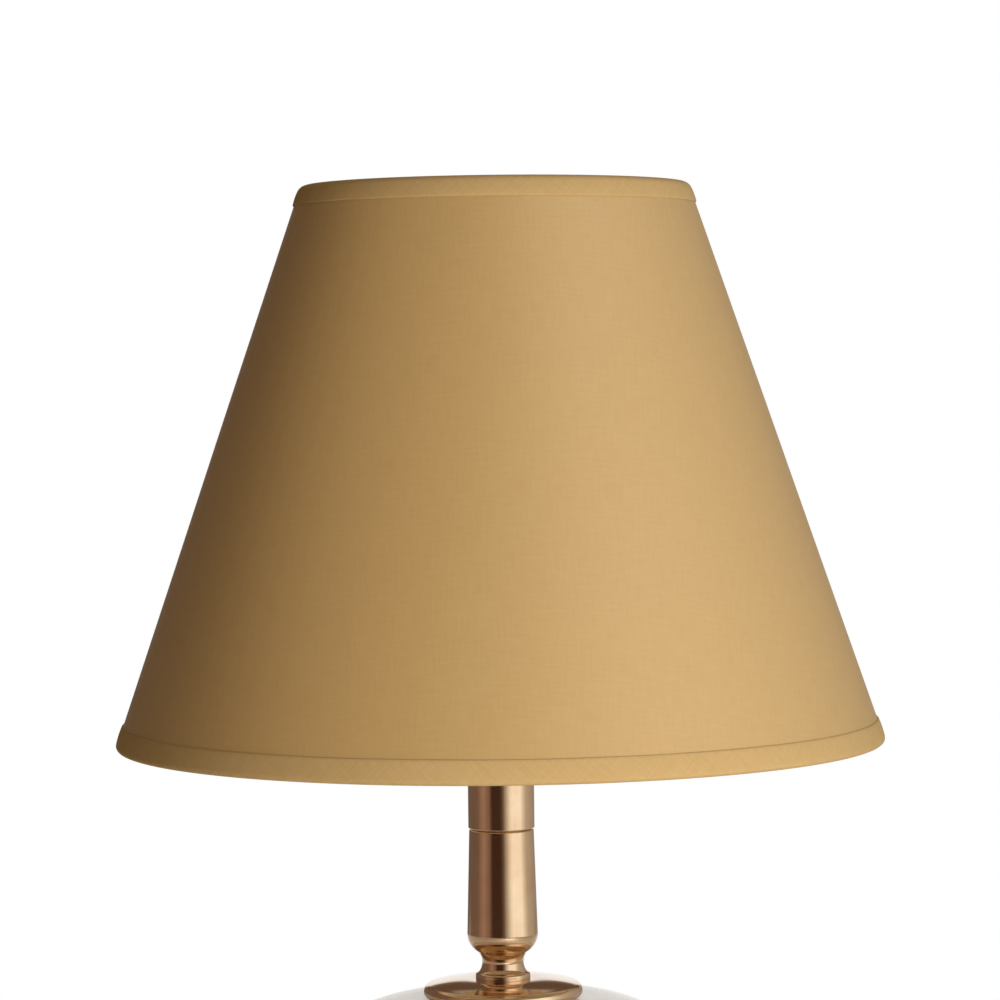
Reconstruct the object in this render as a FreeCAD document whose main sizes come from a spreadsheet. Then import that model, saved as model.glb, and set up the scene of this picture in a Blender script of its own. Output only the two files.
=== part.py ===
import FreeCAD, Part
import math
import os
import re
import Sketcher

# Candle lamp with a cone shade, in millimetres, +Z up, standing on its felt pad at the origin.
# A glazed jar is held between a brass foot and a brass drip pan by one rod.
# The nozzle on the pan takes a lift-out candle tube, in which a spring feeds the candle to its cap.
# A collar clamped on the tube carries the shade, whose frame drops from its top wire to the collar.

Vector = FreeCAD.Vector
doc = FreeCAD.newDocument("candle_lamp")
sheet = doc.addObject("Spreadsheet::Sheet", "sizes")

# Driving sizes: name, value, what it is.
driving = [
    ("feltRadius", 46.0, "felt pad radius"),
    ("feltThick", 2.0, "felt pad thickness"),
    ("footRadius", 50.0, "foot, radius of its lower roll"),
    ("footHeight", 26.0, "foot height"),
    ("footRoll", 9.0, "foot, height of its lower roll"),
    ("footStep", 4.0, "foot, width of the step above the roll"),
    ("footFillet", 1.2, "foot, height of each flat fillet"),
    ("footLip", 5.0, "foot, height of the lip that holds the jar"),
    ("footLipWall", 3.2, "foot, wall of the lip"),
    ("footRecessRadius", 31.0, "foot, radius of the recess under it"),
    ("footRecessDeep", 14.0, "foot, depth of the recess under it"),
    ("seatDepth", 1.5, "how deep the jar sits in the foot"),
    ("seatPlay", 0.3, "play round the jar in its seat"),
    ("jarHeight", 208.8, "jar height"),
    ("jarBellyRadius", 85.0, "jar, largest radius"),
    ("jarShoulderRound", 50.0, "jar, radius of the shoulder's curve"),
    ("jarLowRadius", 41.6, "jar, radius where the flank meets the flare of its base"),
    ("jarBaseRadius", 40.0, "jar, radius of its foot ring"),
    ("jarBaseRing", 3.0, "jar, height of its foot ring"),
    ("jarFlareHeight", 18.0, "jar, where the flank meets the flare of its base"),
    ("jarFlareRound", 16.0, "jar, radius of the hollow flare above its foot ring"),
    ("jarEdge", 1.2, "jar, softened edge of the foot ring"),
    ("jarWall", 6.0, "jar wall"),
    ("jarFloor", 8.0, "jar floor"),
    ("jarHoleRadius", 6.5, "jar, hole for the rod at both ends"),
    ("rodRadius", 4.0, "rod radius"),
    ("rodPlay", 0.3, "play round the rod"),
    ("rodStub", 2.5, "rod, length below its nut"),
    ("rodIntoNozzle", 13.0, "rod, length inside the nozzle"),
    ("rodTip", 0.6, "rod, chamfer of its ends"),
    ("washerRadius", 14.0, "washer radius"),
    ("washerThick", 1.6, "washer thickness"),
    ("nutAcross", 13.0, "nut, across its flats"),
    ("nutHeight", 6.5, "nut height"),
    ("gasketRadius", 24.0, "cork ring under the pan, radius"),
    ("gasketThick", 0.8, "cork ring under the pan, thickness"),
    ("panRadius", 30.0, "drip pan radius"),
    ("panRim", 5.0, "drip pan, height of its rounded rim"),
    ("panRise", 2.0, "drip pan, rise of its dome above the rim"),
    ("panDomeRound", 70.0, "drip pan, radius of the dome's curve"),
    ("panLandRadius", 11.6, "drip pan, radius of the flat land under the nozzle"),
    ("nozzleHeight", 56.4, "nozzle height"),
    ("nozzleRingRadius", 10.3, "nozzle, radius of its base ring"),
    ("nozzleRingHeight", 2.5, "nozzle, height of its base ring"),
    ("nozzleRingRound", 1.2, "nozzle, round of the base ring's edge"),
    ("nozzleWaistRadius", 7.8, "nozzle, smallest radius"),
    ("nozzleWaistHeight", 6.2, "nozzle, height of its waist"),
    ("nozzleWaistRound", 6.0, "nozzle, radius of the waist's hollow"),
    ("nozzleWaistLower", 3.0, "nozzle, how far the hollow reaches below the waist"),
    ("nozzleWaistUpper", 3.8, "nozzle, how far the hollow reaches above the waist"),
    ("nozzleCupRadius", 13.3, "nozzle, largest radius"),
    ("nozzleCupHeight", 17.2, "nozzle, height of its largest radius"),
    ("nozzleCupRound", 8.3, "nozzle, radius of the cup's round bottom"),
    ("nozzleMouthRadius", 12.2, "nozzle, outer radius at its mouth"),
    ("nozzleEdge", 0.4, "nozzle, chamfer of its mouth"),
    ("socketRadius", 11.0, "nozzle, bore for the tube's spigot"),
    ("socketDepth", 37.5, "nozzle, depth of that bore"),
    ("tubeRadius", 12.5, "candle tube, outer radius"),
    ("tubeWall", 1.0, "candle tube wall"),
    ("tubeLength", 136.2, "candle tube length"),
    ("tubeEdge", 0.3, "candle tube, chamfer of its lower edge"),
    ("jointGap", 0.3, "gap at the joint of tube and nozzle"),
    ("runningPlay", 0.05, "play of one turned piece in another"),
    ("spigotWall", 0.75, "spigot wall"),
    ("spigotFloor", 2.2, "spigot floor"),
    ("spigotIntoTube", 6.5, "spigot, length inside the tube"),
    ("ventRadius", 2.5, "spigot, hole that lets air out"),
    ("springWire", 1.2, "spring wire"),
    ("springRadius", 8.8, "spring, radius to the wire's middle"),
    ("springTurns", 11.0, "spring, number of turns"),
    ("springLength", 67.0, "spring, length with a new candle in the tube"),
    ("followerPlay", 0.2, "play of the follower in the tube"),
    ("followerThick", 2.0, "follower, thickness of its plate"),
    ("followerBossRadius", 7.6, "follower, radius of the boss that guides the spring"),
    ("followerBossHeight", 6.0, "follower, height of that boss"),
    ("pricketRadius", 1.6, "follower, radius of the pin that holds the candle"),
    ("pricketHeight", 7.0, "follower, height of that pin"),
    ("candleRadius", 11.0, "candle radius"),
    ("candlePlay", 0.3, "play of the candle at its cap and pin"),
    ("candleTipRadius", 2.2, "candle, radius of its tip"),
    ("candleTipHeight", 8.0, "candle, height of the tip above the cap's mouth"),
    ("wickRadius", 0.9, "wick radius"),
    ("wickStraight", 3.0, "wick, straight length above the candle"),
    ("wickRoot", 4.0, "wick, length inside the candle"),
    ("wickBend", 6.0, "wick, radius of its bend"),
    ("wickLean", 50.0, "wick, angle of its bend in degrees"),
    ("capWall", 0.9, "cap wall"),
    ("capMouthRadius", 7.5, "cap, radius of its mouth"),
    ("capSkirt", 14.3, "cap, height of its skirt"),
    ("capBeadRadius", 0.8, "cap, radius of the bead round its lower edge"),
    ("bayonetPin", 1.2, "bayonet pin radius"),
    ("bayonetPlay", 0.2, "play round a bayonet pin"),
    ("bayonetHeight", 6.5, "bayonet pins, height above the skirt's lower edge"),
    ("bayonetTurn", 35.0, "bayonet, turn in degrees from locked to free"),
    ("collarRadius", 16.0, "collar, outer radius"),
    ("collarHeight", 12.0, "collar height"),
    ("collarDrop", 16.0, "collar, its top below the tube's top"),
    ("flangeRadius", 21.0, "collar, radius of the flange that carries the shade"),
    ("flangeThick", 2.0, "collar, thickness of that flange"),
    ("collarEdge", 0.5, "collar, softened edges"),
    ("bossRadius", 4.5, "collar, radius of the screw's boss"),
    ("bossReach", 22.5, "collar, reach of the boss from the axis"),
    ("screwRadius", 2.0, "thumbscrew, shank radius"),
    ("screwNeck", 3.0, "thumbscrew, length of shank in view"),
    ("screwSpadeWidth", 13.0, "thumbscrew, width of its spade"),
    ("screwSpadeLength", 10.0, "thumbscrew, length of its spade"),
    ("screwSpadeThick", 2.6, "thumbscrew, thickness of its spade"),
    ("spadeFlankShare", 0.6, "thumbscrew, round of the spade's flanks as a share of its length"),
    ("spadeTipShare", 0.8, "thumbscrew, reach of the spade's tip as a share of its length"),
    ("shadeBottomRadius", 142.8, "shade, radius of its face at the lower wire"),
    ("shadeTopRadius", 73.0, "shade, radius of its face at the upper wire"),
    ("shadeHeight", 203.9, "shade, from wire to wire"),
    ("shadeLevel", 334.4, "shade, height of its lower wire above the table"),
    ("coverThick", 0.5, "shade, cloth thickness"),
    ("linerThick", 0.6, "shade, card thickness"),
    ("trimThick", 0.5, "shade, thickness of its trim"),
    ("wireRadius", 1.2, "shade, radius of its wires"),
    ("trimPlay", 0.1, "shade, play of a wire inside its trim"),
    ("bottomBand", 8.6, "shade, height of the lower band"),
    ("topBand", 7.4, "shade, height of the upper band"),
    ("trimTuck", 2.0, "shade, height of the trim that hugs the wire"),
    ("trimRise", 3.0, "shade, height over which the trim comes back to the card"),
    ("trimLap", 3.0, "shade, height of the trim glued to the card"),
    ("ringPlay", 1.6, "play of the shade's ring over the cap"),
    ("ringWidth", 4.4, "shade ring, width"),
    ("ringThick", 1.6, "shade ring, thickness"),
    ("armRadius", 1.4, "shade arms, radius of the wire"),
    ("armCount", 3.0, "shade arms, how many"),
    ("armTurn", 30.0, "shade arms, turn of the first from the X axis in degrees"),
    ("armRun", 7.0, "shade arms, level run out from the ring"),
    ("armBend", 9.0, "shade arms, radius of their bend"),
]

# Places worked out from the driving sizes.
places = {
    "rodHole": "rodRadius + rodPlay",
    "footTop": "feltThick + footHeight",
    "jarBase": "footTop - seatDepth",
    "seatRadius": "jarBaseRadius + seatPlay",
    "jarBelly": "jarHeight - jarShoulderRound",
    "jarFlankRise": "jarBelly - jarFlareHeight",
    "jarFlankIn": "jarBellyRadius - jarLowRadius",
    "jarFlankRound": "(jarFlankRise^2 + jarFlankIn^2) / (2 * jarFlankIn)",
    "jarFlankX": "jarBellyRadius - jarFlankRound",
    "jarLandRadius": "jarBellyRadius - jarShoulderRound",
    "jarInnerFlank": "jarFlankRound - jarWall",
    "jarInnerLow": "jarFlareHeight + jarWall",
    "jarInnerLowRadius": "jarFlankX + sqrt(jarInnerFlank^2 - (jarBelly - jarInnerLow)^2)",
    "gasketBase": "jarBase + jarHeight",
    "panBase": "gasketBase + gasketThick",
    "panThick": "panRim + panRise",
    "nozzleBase": "panBase + panThick",
    "washerBase": "feltThick + footRecessDeep - washerThick",
    "nutBase": "washerBase - nutHeight",
    "rodBase": "nutBase - rodStub",
    "rodTop": "nozzleBase + rodIntoNozzle",
    "rodLength": "rodTop - rodBase",
    "waistRoot": "nozzleWaistRadius + nozzleWaistRound",
    "waistLowRadius": "waistRoot - sqrt(nozzleWaistRound^2 - nozzleWaistLower^2)",
    "waistHighRadius": "waistRoot - sqrt(nozzleWaistRound^2 - nozzleWaistUpper^2)",
    "socketFloor": "nozzleHeight - socketDepth",
    "spigotBase": "nozzleBase + socketFloor",
    "tubeBase": "nozzleBase + nozzleHeight + jointGap",
    "tubeBore": "tubeRadius - tubeWall",
    "spigotRadius": "socketRadius - runningPlay",
    "spigotBore": "spigotRadius - spigotWall",
    "spigotStep": "socketDepth + jointGap",
    "spigotHeight": "spigotStep + spigotIntoTube",
    "springBase": "spigotBase + spigotFloor",
    "followerBase": "springBase + springLength",
    "followerRadius": "tubeBore - followerPlay",
    "candleBase": "followerBase + followerThick",
    "tubeTop": "tubeBase + tubeLength",
    "capInside": "tubeRadius + runningPlay",
    "capOutside": "capInside + capWall",
    "capBase": "tubeTop + jointGap - capSkirt",
    "capLean": "capWall * sqrt(2)",
    "capRise": "capInside - capMouthRadius",
    "capOuterSkirt": "capSkirt + capLean - capWall",
    "capHeight": "capSkirt + capRise + capLean",
    "candleLean": "candlePlay * sqrt(2)",
    "candleNeck": "capMouthRadius - candlePlay * 2",
    "candleShoulder": "tubeTop + jointGap + capInside - candleLean - candleRadius - candleBase",
    "candleNeckHeight": "candleShoulder + candleRadius - candleNeck",
    "candleHeight": "candleNeckHeight + candleTipHeight",
    "bayonetHalf": "asin((bayonetPin + bayonetPlay) / capOutside) / 1deg",
    "bayonetSpan": "bayonetTurn + 2 * bayonetHalf",
    "collarBore": "tubeRadius + runningPlay",
    "collarTop": "tubeTop - collarDrop",
    "collarBase": "collarTop - collarHeight",
    "screwLevel": "(collarHeight - flangeThick) / 2",
    "screwStart": "collarBore + runningPlay",
    "shadeSlope": "(shadeBottomRadius - shadeTopRadius) / shadeHeight",
    "shadeTop": "shadeLevel + shadeHeight",
    "shadeWall": "coverThick + linerThick",
    "wireLean": "(wireRadius + trimPlay) * sqrt(1 + shadeSlope^2)",
    "wireSet": "shadeWall + wireLean",
    "rollWidth": "wireSet + wireLean",
    "ringBore": "capOutside + capBeadRadius + ringPlay",
    "ringRadius": "ringBore + ringWidth",
    "ringRise": "ringThick + armRadius",
    "armStart": "ringBore + armRadius",
    "armBendX": "ringRadius + armRun",
    "armEndX": "shadeTopRadius - wireSet",
    "armEndZ": "shadeTop - collarTop",
    "armLean": "atan((armEndZ - ringRise) / (armEndX - armBendX))",
    "armTangent": "armBend * tan(armLean / 2)",
}

for row, (name, value, note) in enumerate(driving, start=1):
    sheet.set("A%d" % row, note)
    sheet.set("B%d" % row, str(value))
    sheet.setAlias("B%d" % row, name)
doc.recompute()
names = {name for name, value, note in driving}


# An expression in the sizes and places above, written out in the sheet's own cells.
def full(text):
    def spell(match):
        word = match.group(0)
        if word in places:
            return "(" + full(places[word]) + ")"
        return "sizes." + word if word in names else word
    return re.sub(r"[A-Za-z_]\w*", spell, text)


# The number that such an expression stands for.
def value_of(text):
    found = sheet.evalExpression(full(text))
    return float(getattr(found, "Value", found))


def new_body(label, level="0", turn="0"):
    body = doc.addObject("PartDesign::Body", label)
    body.Label = label
    body.setExpression("Placement.Base.z", full(level))
    body.setExpression("Placement.Rotation.Angle", full(turn))
    return body


def new_sketch(body, name, plane="XZ_Plane"):
    sketch = body.newObject("Sketcher::SketchObject", name)
    support = [feature for feature in body.Origin.OriginFeatures if feature.Role == plane][0]
    sketch.AttachmentSupport = (support, [""])
    sketch.MapMode = "FlatFace"
    return sketch


# Holds one point of a sketch at the place that two expressions give.
def hold_point(sketch, edge, end, across, along):
    for kind, text, axis in (("DistanceX", across, -2), ("DistanceY", along, -1)):
        if value_of(text) == 0:
            sketch.addConstraint(Sketcher.Constraint("PointOnObject", edge, end, axis))
            continue
        held = Sketcher.Constraint(kind, -1, 1, edge, end, value_of(text))
        sketch.setExpression("Constraints[%d]" % sketch.addConstraint(held), full(text))


# An arc of a sketch from one point to the next, on a radius, bending to the left or the right.
def add_arc(sketch, start, end, radius, side):
    size = value_of(radius)
    chord = end - start
    reach = math.sqrt(max(size ** 2 - (chord.Length / 2) ** 2, 0))
    left = Vector(-chord.y, chord.x, 0).normalize()
    centre = (start + end) / 2 + left * (reach if side == "left" else -reach)
    first, last = (start, end) if side == "left" else (end, start)
    angles = [math.atan2(point.y - centre.y, point.x - centre.x) for point in (first, last)]
    if angles[1] < angles[0]:
        angles[1] += 2 * math.pi
    circle = Part.Circle(centre, Vector(0, 0, 1), size)
    edge = sketch.addGeometry(Part.ArcOfCircle(circle, angles[0], angles[1]), False)
    held = sketch.addConstraint(Sketcher.Constraint("Radius", edge, size))
    sketch.setExpression("Constraints[%d]" % held, full(radius))
    return (edge, 1, 2) if side == "left" else (edge, 2, 1)


# An outline from corners (across, along), or (across, along, radius, side) where an arc starts.
def draw(sketch, corners, closed=True):
    points = [Vector(value_of(corner[0]), value_of(corner[1]), 0) for corner in corners]
    edges = []
    for index in range(len(corners) if closed else len(corners) - 1):
        start, end = points[index], points[(index + 1) % len(points)]
        if len(corners[index]) == 4:
            edges.append(add_arc(sketch, start, end, corners[index][2], corners[index][3]))
        else:
            edges.append((sketch.addGeometry(Part.LineSegment(start, end), False), 1, 2))
    for index, (edge, start, end) in enumerate(edges):
        hold_point(sketch, edge, start, corners[index][0], corners[index][1])
        if closed or index + 1 < len(edges):
            after = edges[(index + 1) % len(edges)]
            sketch.addConstraint(Sketcher.Constraint("Coincident", edge, end, after[0], after[1]))
    if not closed:
        hold_point(sketch, edges[-1][0], edges[-1][2], corners[-1][0], corners[-1][1])


def draw_circle(sketch, radius, across="0", along="0"):
    centre = Vector(value_of(across), value_of(along), 0)
    circle = Part.Circle(centre, Vector(0, 0, 1), value_of(radius))
    edge = sketch.addGeometry(circle, False)
    held = sketch.addConstraint(Sketcher.Constraint("Radius", edge, value_of(radius)))
    sketch.setExpression("Constraints[%d]" % held, full(radius))
    hold_point(sketch, edge, 3, across, along)


def spin(body, sketch, kind="PartDesign::Revolution", angle="360"):
    feature = body.newObject(kind, sketch.Name + "_spin")
    feature.Profile = sketch
    feature.ReferenceAxis = (sketch, ["V_Axis"])
    feature.setExpression("Angle", full(angle))
    return feature


# A turned piece: its section drawn on the XZ plane and spun round the Z axis.
def turned(label, level, corners):
    body = new_body(label, level)
    sketch = new_sketch(body, label + "_section")
    draw(sketch, corners)
    spin(body, sketch)
    return body


def washer(label, level, bore, radius, thick):
    return turned(label, level, [(bore, "0"), (radius, "0"), (radius, thick), (bore, thick)])


def pad(body, sketch, length, midplane=False):
    feature = body.newObject("PartDesign::Pad", sketch.Name + "_pad")
    feature.Profile = sketch
    feature.Midplane = midplane
    feature.setExpression("Length", full(length))
    return feature


# Copies of features round the Z axis of their body.
def around(body, name, features, count):
    pattern = body.newObject("PartDesign::PolarPattern", name)
    pattern.Originals = features
    axis = [feature for feature in body.Origin.OriginFeatures if feature.Role == "Z_Axis"][0]
    pattern.Axis = (axis, [""])
    pattern.Angle = 360
    pattern.setExpression("Occurrences", full(count))
    body.Tip = pattern
    return pattern


parts = []

# Stand: felt pad, turned foot, jar, and the rod, washer and nut that clamp them to the pan.
parts.append(turned("felt_pad", "0", [
    ("0", "0"), ("feltRadius", "0"), ("feltRadius", "feltThick"), ("0", "feltThick")]))

parts.append(turned("foot", "feltThick", [
    ("rodHole", "footRecessDeep"),
    ("footRecessRadius", "footRecessDeep"),
    ("footRecessRadius", "0"),
    ("footRadius - footRoll / 2", "0", "footRoll / 2", "left"),
    ("footRadius", "footRoll / 2", "footRoll / 2", "left"),
    ("footRadius - footRoll / 2", "footRoll"),
    ("footRadius - footRoll / 2", "footRoll + footFillet"),
    ("footRadius - footRoll / 2 - footStep / 2", "footRoll + footFillet",
     "footHeight - footRoll", "right"),
    ("seatRadius + footFillet", "footHeight - footLip - footFillet"),
    ("seatRadius + footFillet", "footHeight - footLip"),
    ("seatRadius + footLipWall - footFillet", "footHeight - footLip", "footLip / 2 + footFillet", "left"),
    ("seatRadius + footLipWall - footFillet", "footHeight"),
    ("seatRadius", "footHeight"),
    ("seatRadius", "footHeight - seatDepth"),
    ("rodHole", "footHeight - seatDepth")]))

parts.append(turned("jar", "jarBase", [
    ("jarHoleRadius", "0"),
    ("jarBaseRadius - jarEdge", "0", "jarEdge", "left"),
    ("jarBaseRadius", "jarEdge"),
    ("jarBaseRadius", "jarBaseRing", "jarFlareRound", "right"),
    ("jarLowRadius", "jarFlareHeight", "jarFlankRound", "left"),
    ("jarBellyRadius", "jarBelly", "jarShoulderRound", "left"),
    ("jarLandRadius", "jarHeight"),
    ("jarHoleRadius", "jarHeight"),
    ("jarHoleRadius", "jarHeight - jarWall"),
    ("jarLandRadius", "jarHeight - jarWall", "jarShoulderRound - jarWall", "right"),
    ("jarBellyRadius - jarWall", "jarBelly", "jarInnerFlank", "right"),
    ("jarInnerLowRadius", "jarInnerLow"),
    ("jarBaseRadius - jarWall", "jarFloor"),
    ("jarHoleRadius", "jarFloor")]))

parts.append(turned("tie_rod", "rodBase", [
    ("0", "0"),
    ("rodRadius - rodTip", "0"),
    ("rodRadius", "rodTip"),
    ("rodRadius", "rodLength - rodTip"),
    ("rodRadius - rodTip", "rodLength"),
    ("0", "rodLength")]))

parts.append(washer("foot_washer", "washerBase", "rodHole", "washerRadius", "washerThick"))

nut = new_body("foot_nut", "nutBase")
nut_outline = new_sketch(nut, "foot_nut_outline", "XY_Plane")
draw(nut_outline, [
    ("nutAcross / 2", "nutAcross / 2 * tan(30)"),
    ("0", "nutAcross / 2 / cos(30)"),
    ("-nutAcross / 2", "nutAcross / 2 * tan(30)"),
    ("-nutAcross / 2", "-nutAcross / 2 * tan(30)"),
    ("0", "-nutAcross / 2 / cos(30)"),
    ("nutAcross / 2", "-nutAcross / 2 * tan(30)")])
draw_circle(nut_outline, "rodRadius")
pad(nut, nut_outline, "nutHeight")
parts.append(nut)

# Pan and nozzle: the pan's rounded rim and low dome, and the nozzle's ring, waist and round cup.
parts.append(washer("pan_gasket", "gasketBase", "rodHole", "gasketRadius", "gasketThick"))

parts.append(turned("drip_pan", "panBase", [
    ("rodHole", "0"),
    ("panRadius - panRim / 2", "0", "panRim / 2", "left"),
    ("panRadius", "panRim / 2", "panRim / 2", "left"),
    ("panRadius - panRim / 2", "panRim", "panDomeRound", "left"),
    ("panLandRadius", "panThick"),
    ("rodHole", "panThick")]))

parts.append(turned("nozzle", "nozzleBase", [
    ("rodRadius", "0"),
    ("nozzleRingRadius", "0"),
    ("nozzleRingRadius", "nozzleRingHeight - nozzleRingRound", "nozzleRingRound", "left"),
    ("nozzleRingRadius - nozzleRingRound", "nozzleRingHeight"),
    ("waistLowRadius", "nozzleWaistHeight - nozzleWaistLower", "nozzleWaistRound", "right"),
    ("waistHighRadius", "nozzleWaistHeight + nozzleWaistUpper", "nozzleCupRound", "left"),
    ("nozzleCupRadius", "nozzleCupHeight"),
    ("nozzleMouthRadius", "nozzleHeight - nozzleEdge"),
    ("nozzleMouthRadius - nozzleEdge", "nozzleHeight"),
    ("socketRadius", "nozzleHeight"),
    ("socketRadius", "socketFloor"),
    ("0", "socketFloor"),
    ("0", "rodIntoNozzle"),
    ("rodRadius", "rodIntoNozzle")]))

# Candle tube: its spigot drops into the nozzle, and the tube above is flush with the mouth.
parts.append(turned("spigot", "spigotBase", [
    ("ventRadius", "0"),
    ("spigotRadius", "0"),
    ("spigotRadius", "spigotStep"),
    ("tubeBore", "spigotStep"),
    ("tubeBore", "spigotHeight"),
    ("spigotBore", "spigotHeight"),
    ("spigotBore", "spigotFloor"),
    ("ventRadius", "spigotFloor")]))

parts.append(turned("candle_tube", "tubeBase", [
    ("tubeBore", "0"),
    ("tubeRadius - tubeEdge", "0"),
    ("tubeRadius", "tubeEdge"),
    ("tubeRadius", "tubeLength"),
    ("tubeBore", "tubeLength")]))


# Two pins of the bayonet, each riveted through the tube's wall.
def bayonet_pin(name, turn):
    pin = doc.addObject("Part::Cylinder", name)
    pin.setExpression("Radius", full("bayonetPin"))
    pin.setExpression("Height", full("capOutside - tubeRadius"))
    level = value_of("capBase + bayonetHeight")
    aim = FreeCAD.Rotation(Vector(0, 0, 1), turn)
    lay = FreeCAD.Rotation(Vector(0, 0, 1), Vector(1, 0, 0))
    reach = Vector(value_of("tubeRadius"), 0, 0)
    pin.Placement = FreeCAD.Placement(Vector(0, 0, level) + aim.multVec(reach), aim.multiply(lay))
    return pin


pins = doc.addObject("Part::Compound", "bayonet_pins")
pins.Label = "bayonet_pins"
pins.Links = [bayonet_pin("bayonet_pin_%d" % side, side * 180 + value_of("bayonetTurn / 2"))
              for side in range(2)]
parts.append(pins)


# Two tangent arcs that lead from one point and direction to another.
def biarc(start, away, end, towards):
    gap = end - start
    both = away + towards
    bend = 2 * (1 - away.dot(towards))
    along = gap.dot(both)
    reach = (math.sqrt(along ** 2 + bend * gap.dot(gap)) - along) / bend
    meet = (start + end + (away - towards) * reach) / 2
    return [lean_arc(start, away, meet), lean_arc(end, towards * -1, meet)]


# One arc from a point, in a direction, to a point.
def lean_arc(start, away, end):
    chord = end - start
    along = Vector(chord).normalize()
    cosine = away.dot(along)
    side = (away - along * cosine).normalize()
    sag = chord.Length / 2 * math.tan(math.acos(cosine) / 2)
    return Part.Arc(start, (start + end) / 2 + side * sag, end).toShape()


# Coil spring: quarter-turn arcs, with a short straight end square to each plate.
def coil_path(radius, wire, turns, length):
    quarters = 4
    steps = int(round(turns * quarters))
    inset = wire * 2
    rise = (length - 2 * inset) / steps
    lean = Vector(0, radius * math.pi / 2, rise).normalize()
    stations = []
    for step in range(steps + 1):
        turn = FreeCAD.Rotation(Vector(0, 0, 1), 360 * step / quarters)
        stations.append((turn.multVec(Vector(radius, 0, 0)) + Vector(0, 0, inset + rise * step),
                         turn.multVec(lean)))
    return stations


radius, wire = value_of("springRadius"), value_of("springWire")
length = value_of("springLength")
stations = coil_path(radius, wire, value_of("springTurns"), length)
up = Vector(0, 0, 1)
edges = []
lead = FreeCAD.Rotation(up, -math.degrees(2 * wire / radius))
foot_point = lead.multVec(Vector(stations[0][0].x, stations[0][0].y, 0))
head_point = lead.inverted().multVec(Vector(stations[-1][0].x, stations[-1][0].y, length))
edges.append(Part.LineSegment(foot_point, foot_point + up * wire).toShape())
edges += biarc(foot_point + up * wire, up, stations[0][0], stations[0][1])
for (start, away), (end, towards) in zip(stations, stations[1:]):
    edges += biarc(start, away, end, towards)
edges += biarc(stations[-1][0], stations[-1][1], head_point - up * wire, up)
edges.append(Part.LineSegment(head_point - up * wire, head_point).toShape())
path = Part.Wire(Part.__sortEdges__(edges))
ring = Part.Wire([Part.Circle(foot_point, up, wire / 2).toShape()])
pipe = Part.BRepOffsetAPI.MakePipeShell(path)
pipe.add(ring)
pipe.build()
pipe.makeSolid()
spring = doc.addObject("Part::Feature", "feed_spring")
spring.Label = "feed_spring"
spring.Shape = pipe.shape()
spring.Placement.Base = Vector(0, 0, value_of("springBase"))
parts.append(spring)
marks = path.discretize(Number=600)
half_turn = int(len(marks) / value_of("springTurns") / 2)
apart = [(here, there) for index, here in enumerate(marks) for there in marks[index + half_turn:]]
least = min((here - there).Length for here, there in apart) - wire
print("spring: least gap between turns %.2f mm, volume %.1f of %.1f mm3"
      % (least, spring.Shape.Volume, math.pi * wire ** 2 / 4 * path.Length))

# Follower and candle: the candle stands on the follower's pin, its tip through the cap's mouth.
parts.append(turned("follower", "followerBase - followerBossHeight", [
    ("0", "0"),
    ("followerBossRadius", "0"),
    ("followerBossRadius", "followerBossHeight"),
    ("followerRadius", "followerBossHeight"),
    ("followerRadius", "followerBossHeight + followerThick"),
    ("pricketRadius", "followerBossHeight + followerThick"),
    ("0", "followerBossHeight + followerThick + pricketHeight")]))

parts.append(turned("candle", "candleBase", [
    ("pricketRadius + candlePlay", "0"),
    ("candleRadius", "0"),
    ("candleRadius", "candleShoulder"),
    ("candleNeck", "candleNeckHeight"),
    ("candleTipRadius", "candleHeight"),
    ("wickRadius", "candleHeight"),
    ("wickRadius", "candleHeight - wickRoot"),
    ("0", "candleHeight - wickRoot"),
    ("0", "pricketHeight + candlePlay"),
    ("pricketRadius + candlePlay", "pricketHeight + candlePlay")]))

wick = new_body("wick", "candleBase + candleHeight - wickRoot")
wick_path = new_sketch(wick, "wick_path")
draw(wick_path, [
    ("0", "0"),
    ("0", "wickRoot + wickStraight", "wickBend", "right"),
    ("wickBend * (1 - cos(wickLean))", "wickRoot + wickStraight + wickBend * sin(wickLean)")], False)
wick_ring = new_sketch(wick, "wick_ring", "XY_Plane")
draw_circle(wick_ring, "wickRadius")
wick_pipe = wick.newObject("PartDesign::AdditivePipe", "wick_pipe")
wick_pipe.Profile = wick_ring
wick_pipe.Spine = (wick_path, ["Edge1", "Edge2"])
parts.append(wick)

# Cap: a skirt over the tube, a bead to grip, a cone up to the mouth and two bayonet slots.
cap = turned("candle_cap", "capBase", [
    ("capInside", "0"),
    ("capOutside", "0", "capBeadRadius", "left"),
    ("capOutside + capBeadRadius", "capBeadRadius", "capBeadRadius", "left"),
    ("capOutside", "2 * capBeadRadius"),
    ("capOutside", "capOuterSkirt"),
    ("capMouthRadius", "capHeight"),
    ("capMouthRadius", "capSkirt + capRise"),
    ("capInside", "capSkirt")])
slots = []
for name, low, high, span, aim in (
        ("slot_level", "bayonetHeight - bayonetPin - bayonetPlay",
         "bayonetHeight + bayonetPin + bayonetPlay", "bayonetSpan", "0"),
        ("slot_entry", "-capBeadRadius", "bayonetHeight", "2 * bayonetHalf", "-bayonetTurn / 2")):
    section = new_sketch(cap, name)
    section.AttachmentOffset = FreeCAD.Placement(
        Vector(0, 0, 0), FreeCAD.Rotation(Vector(0, 1, 0), value_of(aim)))
    draw(section, [
        ("tubeRadius", low),
        ("capOutside + 2 * capBeadRadius", low),
        ("capOutside + 2 * capBeadRadius", high),
        ("tubeRadius", high)])
    groove = spin(cap, section, "PartDesign::Groove", span)
    groove.Midplane = True
    slots.append(groove)
around(cap, "slots_around", slots, "2")
parts.append(cap)

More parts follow.
